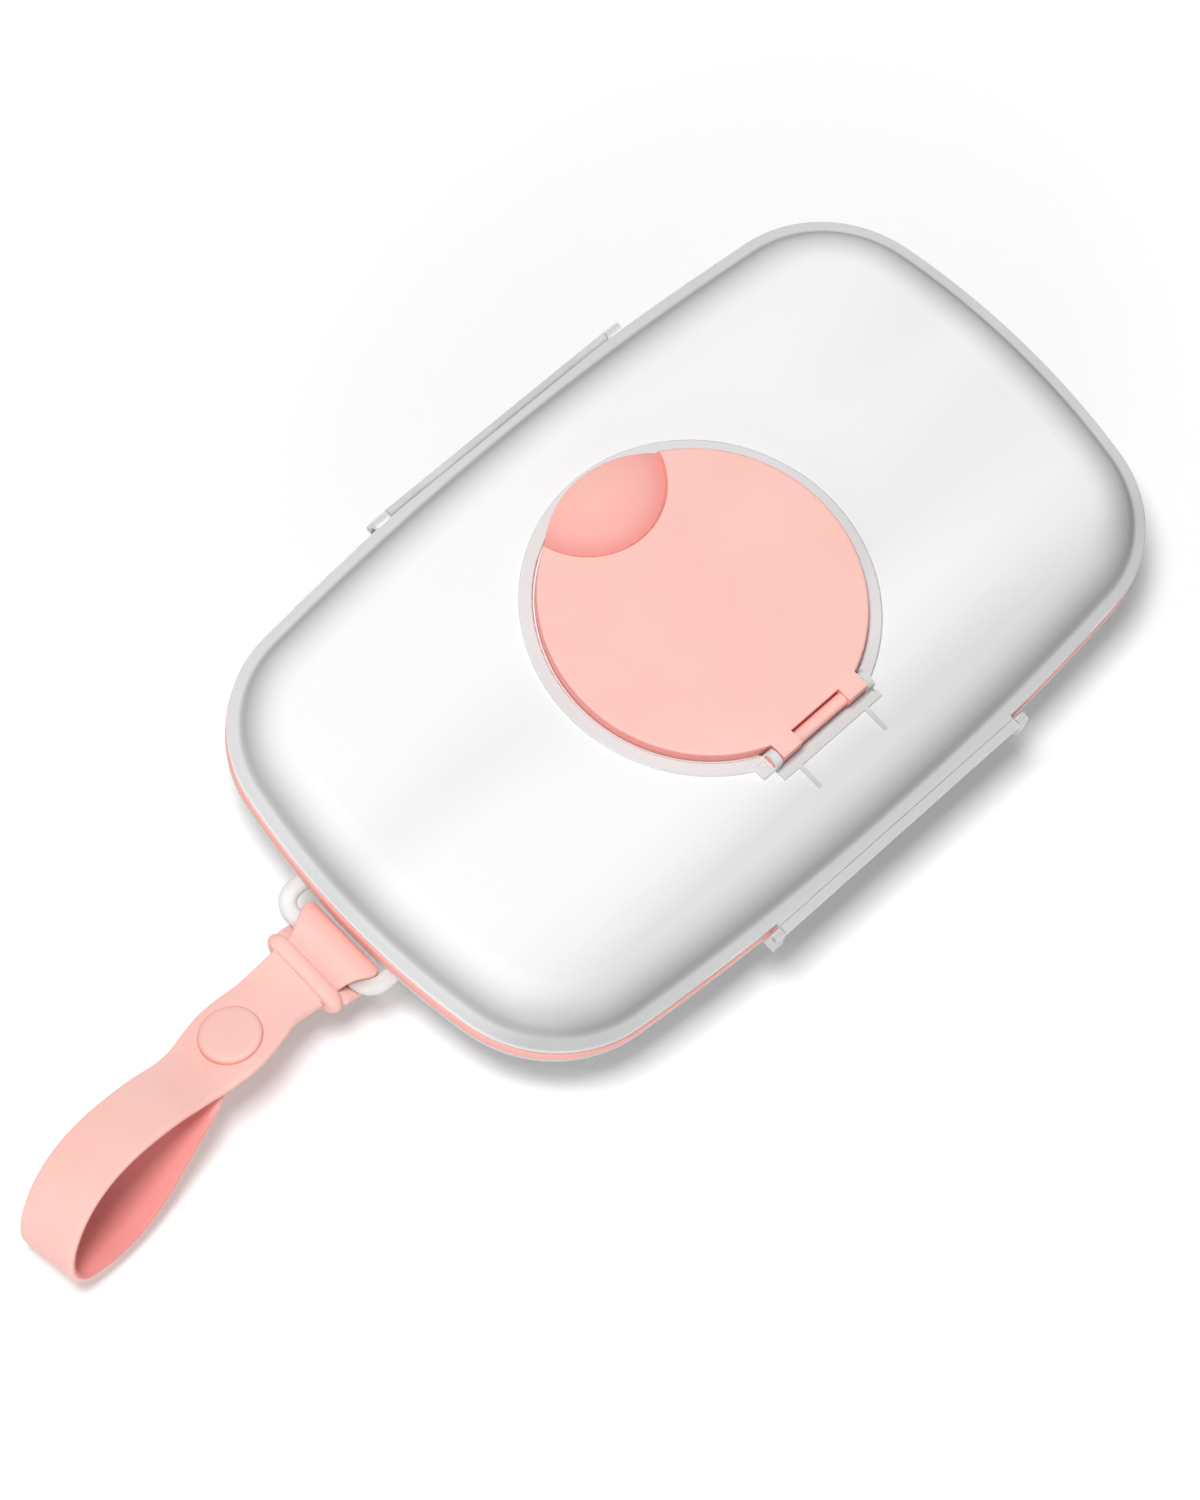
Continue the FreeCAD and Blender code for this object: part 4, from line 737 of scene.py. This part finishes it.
def smooth_line(points, start, end, steps):
    """A smooth line through points, with given directions at its ends: places and headings."""
    points = [Vector(point) for point in points]
    lengths = [(b - a).length for a, b in zip(points, points[1:])]
    headings = [Vector(start)]
    for i in range(1, len(points) - 1):
        before = (points[i] - points[i - 1]) / lengths[i - 1]
        after = (points[i + 1] - points[i]) / lengths[i]
        headings.append((before * lengths[i] + after * lengths[i - 1]) / (lengths[i - 1] + lengths[i]))
    headings.append(Vector(end))
    line = []
    for i, length in enumerate(lengths):
        for k in range(steps):
            s = k / steps
            place = (points[i] * (2 * s ** 3 - 3 * s ** 2 + 1) + points[i + 1] * (3 * s ** 2 - 2 * s ** 3)
                     + headings[i] * length * (s ** 3 - 2 * s ** 2 + s)
                     + headings[i + 1] * length * (s ** 3 - s ** 2))
            heading = ((points[i + 1] - points[i]) * (6 * s - 6 * s ** 2)
                       + headings[i] * length * (3 * s ** 2 - 4 * s + 1)
                       + headings[i + 1] * length * (3 * s ** 2 - 2 * s))
            line.append((place, heading.normalized()))
    line.append((points[-1], headings[-1]))
    return line


def fold_ring(x, z, heading):
    """The band's section on the fold, x and z measured from the bail's middle."""
    normal = Vector((-heading.y, 0.0, heading.x))
    half_width = eye_half_width(x, z)
    centre = BAIL_PLACE + Vector((x, FOLD_SHIFT, z))
    return band_ring(centre, Vector((0.0, 1.0, 0.0)), normal, half_width)


def layer_rise(x, side):
    """Height of a layer's middle over the bail's middle; side is -1 below and 1 above."""
    reach = EYE_RISE if side > 0 else EYE_DROP
    share = ease((x - EYE_LEVEL_END) / (NECK_LEVEL_START - EYE_LEVEL_END))
    return side * (reach + (LAYER_RISE - reach) * share)


def fold_layer(start, end, side):
    """One layer of the fold between the neck and the bail."""
    rings = []
    way = 1.0 if end > start else -1.0
    for i in range(FOLD_STEPS):
        x = start + (end - start) * i / FOLD_STEPS
        slope = (layer_rise(x + SLOPE_STEP, side) - layer_rise(x - SLOPE_STEP, side)) / (2 * SLOPE_STEP)
        rings.append(fold_ring(x, layer_rise(x, side), Vector((way, way * slope)).normalized()))
    return rings


strap_rings = fold_layer(NECK_END, EYE_LEVEL_END, -1)
for i in range(EYE_STEPS + 1):
    angle = -math.pi / 2 - math.pi * i / EYE_STEPS
    reach = EYE_RISE if math.sin(angle) > 0 else EYE_DROP
    heading = Vector((EYE_BACK * math.sin(angle), -reach * math.cos(angle))).normalized()
    strap_rings.append(fold_ring(EYE_BACK * math.cos(angle), reach * math.sin(angle), heading))
strap_rings += fold_layer(EYE_LEVEL_END, NECK_END, 1)

flat_end = SNAP_PLACE + SNAP_FLAT
loop_points = [(flat_end, 0.0)]
loop_points += [(out * STRAP_REACH, up * LOOP_HEIGHT) for out, up in LOOP_SHARES]
loop_points.append((flat_end, -TAIL_DROP))
strap_line = [(Vector((flat_end * i / FLAT_STEPS, 0.0)), Vector((1.0, 0.0))) for i in range(FLAT_STEPS)]
strap_line += smooth_line(loop_points, (1.0, 0.0), (-1.0, 0.0), LOOP_STEPS)
tail_start = len(strap_line)
for i in range(1, TAIL_STEPS + 1):
    tail_share = 1 - (1 - i / TAIL_STEPS) ** 2
    strap_line.append((Vector((flat_end - 2 * SNAP_FLAT * tail_share, -TAIL_DROP)), Vector((-1.0, 0.0))))
for i, (place, heading) in enumerate(strap_line):
    centre, out, width, up = band_frame(place.x, place.y)
    off_snap = min(abs(place.x - SNAP_PLACE) / SNAP_BULGE_REACH, 1.0)
    half_width = BAND_HALF_WIDTH + SNAP_BULGE * math.cos(off_snap * math.pi / 2) ** 2
    if heading.x < 0 and place.x < flat_end + SNAP_FLAT:
        narrowing = ease((flat_end + SNAP_FLAT - place.x) / SNAP_FLAT)
        half_width = BAND_HALF_WIDTH + (TAIL_HALF_WIDTH - BAND_HALF_WIDTH) * narrowing
    if i >= tail_start:
        to_end = place.x - flat_end + 2 * SNAP_FLAT
        if to_end < TAIL_ROUNDING:
            half_width -= TAIL_ROUNDING - math.sqrt(TAIL_ROUNDING ** 2 - (TAIL_ROUNDING - to_end) ** 2)
    strap_rings.append(band_ring(centre, width, up * heading.x - out * heading.y, half_width))
strap = skinned("wrist_strap", strap_rings, False, "strap", pink_silicone)
section_inside = [1.0 if rise < 0 else 0.0
                  for across, rise in rounded_rectangle(BAND_HALF_WIDTH, BAND_HALF_THICKNESS, BAND_EDGE)]
inside_marks = [0.0] * (len(strap_rings) - len(strap_line)) * len(section_inside)
for place, heading in strap_line:
    in_loop = ease((place.x - flat_end) / SNAP_FLAT)
    inside_marks += [mark * in_loop for mark in section_inside]
strap.data.attributes.new("inside", "FLOAT", "POINT").data.foreach_set("value", inside_marks)
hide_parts("strap")


# Strap keeper
# A half-round silicone ring that is pushed over the fold and holds its two layers together; its
# ends stand out as round lobes on both sides of the band.
KEEPER_START = 4.9 * MM
KEEPER_LENGTH = 3.6 * MM
KEEPER_HALF_WIDTH = 10.5 * MM
KEEPER_HALF_HEIGHT = 3.45 * MM
KEEPER_SLOT = (7.1 * MM, 1.7 * MM)
KEEPER_SHOULDER = 0.25
KEEPER_CORNER = KEEPER_HALF_HEIGHT * 0.999
KEEPER_CORNER_STEPS = 14
KEEPER_BULGE_STEPS = 16

keeper_rings = []
for across, rise in rounded_rectangle(
        KEEPER_HALF_WIDTH, KEEPER_HALF_HEIGHT, KEEPER_CORNER, KEEPER_CORNER_STEPS):
    outer = Vector((across, rise))
    inner = Vector((max(-KEEPER_SLOT[0], min(KEEPER_SLOT[0], across)),
                    max(-KEEPER_SLOT[1], min(KEEPER_SLOT[1], rise))))
    ring = []
    for i in range(KEEPER_BULGE_STEPS + 1):
        angle = math.pi * i / KEEPER_BULGE_STEPS
        share = KEEPER_SHOULDER + (1 - KEEPER_SHOULDER) * math.sin(angle)
        place = inner.lerp(outer, share)
        x = KEEPER_START + KEEPER_LENGTH / 2 * (1 - math.cos(angle))
        ring.append(BAIL_PLACE + Vector((x, FOLD_SHIFT + place.x, place.y)))
    for x in (KEEPER_START + KEEPER_LENGTH, KEEPER_START):
        ring.append(BAIL_PLACE + Vector((x, FOLD_SHIFT + inner.x, inner.y)))
    keeper_rings.append(ring)
keeper = skinned("keeper_ring", keeper_rings, True, "strap", pink_silicone)
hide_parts("strap_keeper")


# Snap
# A thick button with a soft rounded edge on the outside of the band, its socket washer between
# the layers, and the stud that comes up through the tail, all moulded in pink plastic.
BUTTON_PROFILE = (
    (4.00, -0.30), (6.60, -0.30), (6.75, -0.20), (6.75, 0.40), (6.72, 0.72), (6.60, 1.04),
    (6.36, 1.32), (6.00, 1.54), (5.50, 1.69), (4.80, 1.77), (3.80, 1.82), (2.60, 1.85),
    (1.20, 1.87), (0.30, 1.88))
BUTTON_STEPS = 72

centre, out, width, up = band_frame(SNAP_PLACE, BAND_HALF_THICKNESS)
button_rings = []
for reach, rise in BUTTON_PROFILE:
    ring = []
    for i in range(BUTTON_STEPS):
        angle = 2 * math.pi * i / BUTTON_STEPS
        away = out * math.cos(angle) + width * math.sin(angle)
        ring.append(centre + away * reach * MM + up * rise * MM)
    button_rings.append(ring)
button = skinned("snap_button", button_rings, False, "strap", pink_plastic)
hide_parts("snap_cap")
for node in ("snap_socket", "snap_stud"):
    dress(node, pink_plastic)
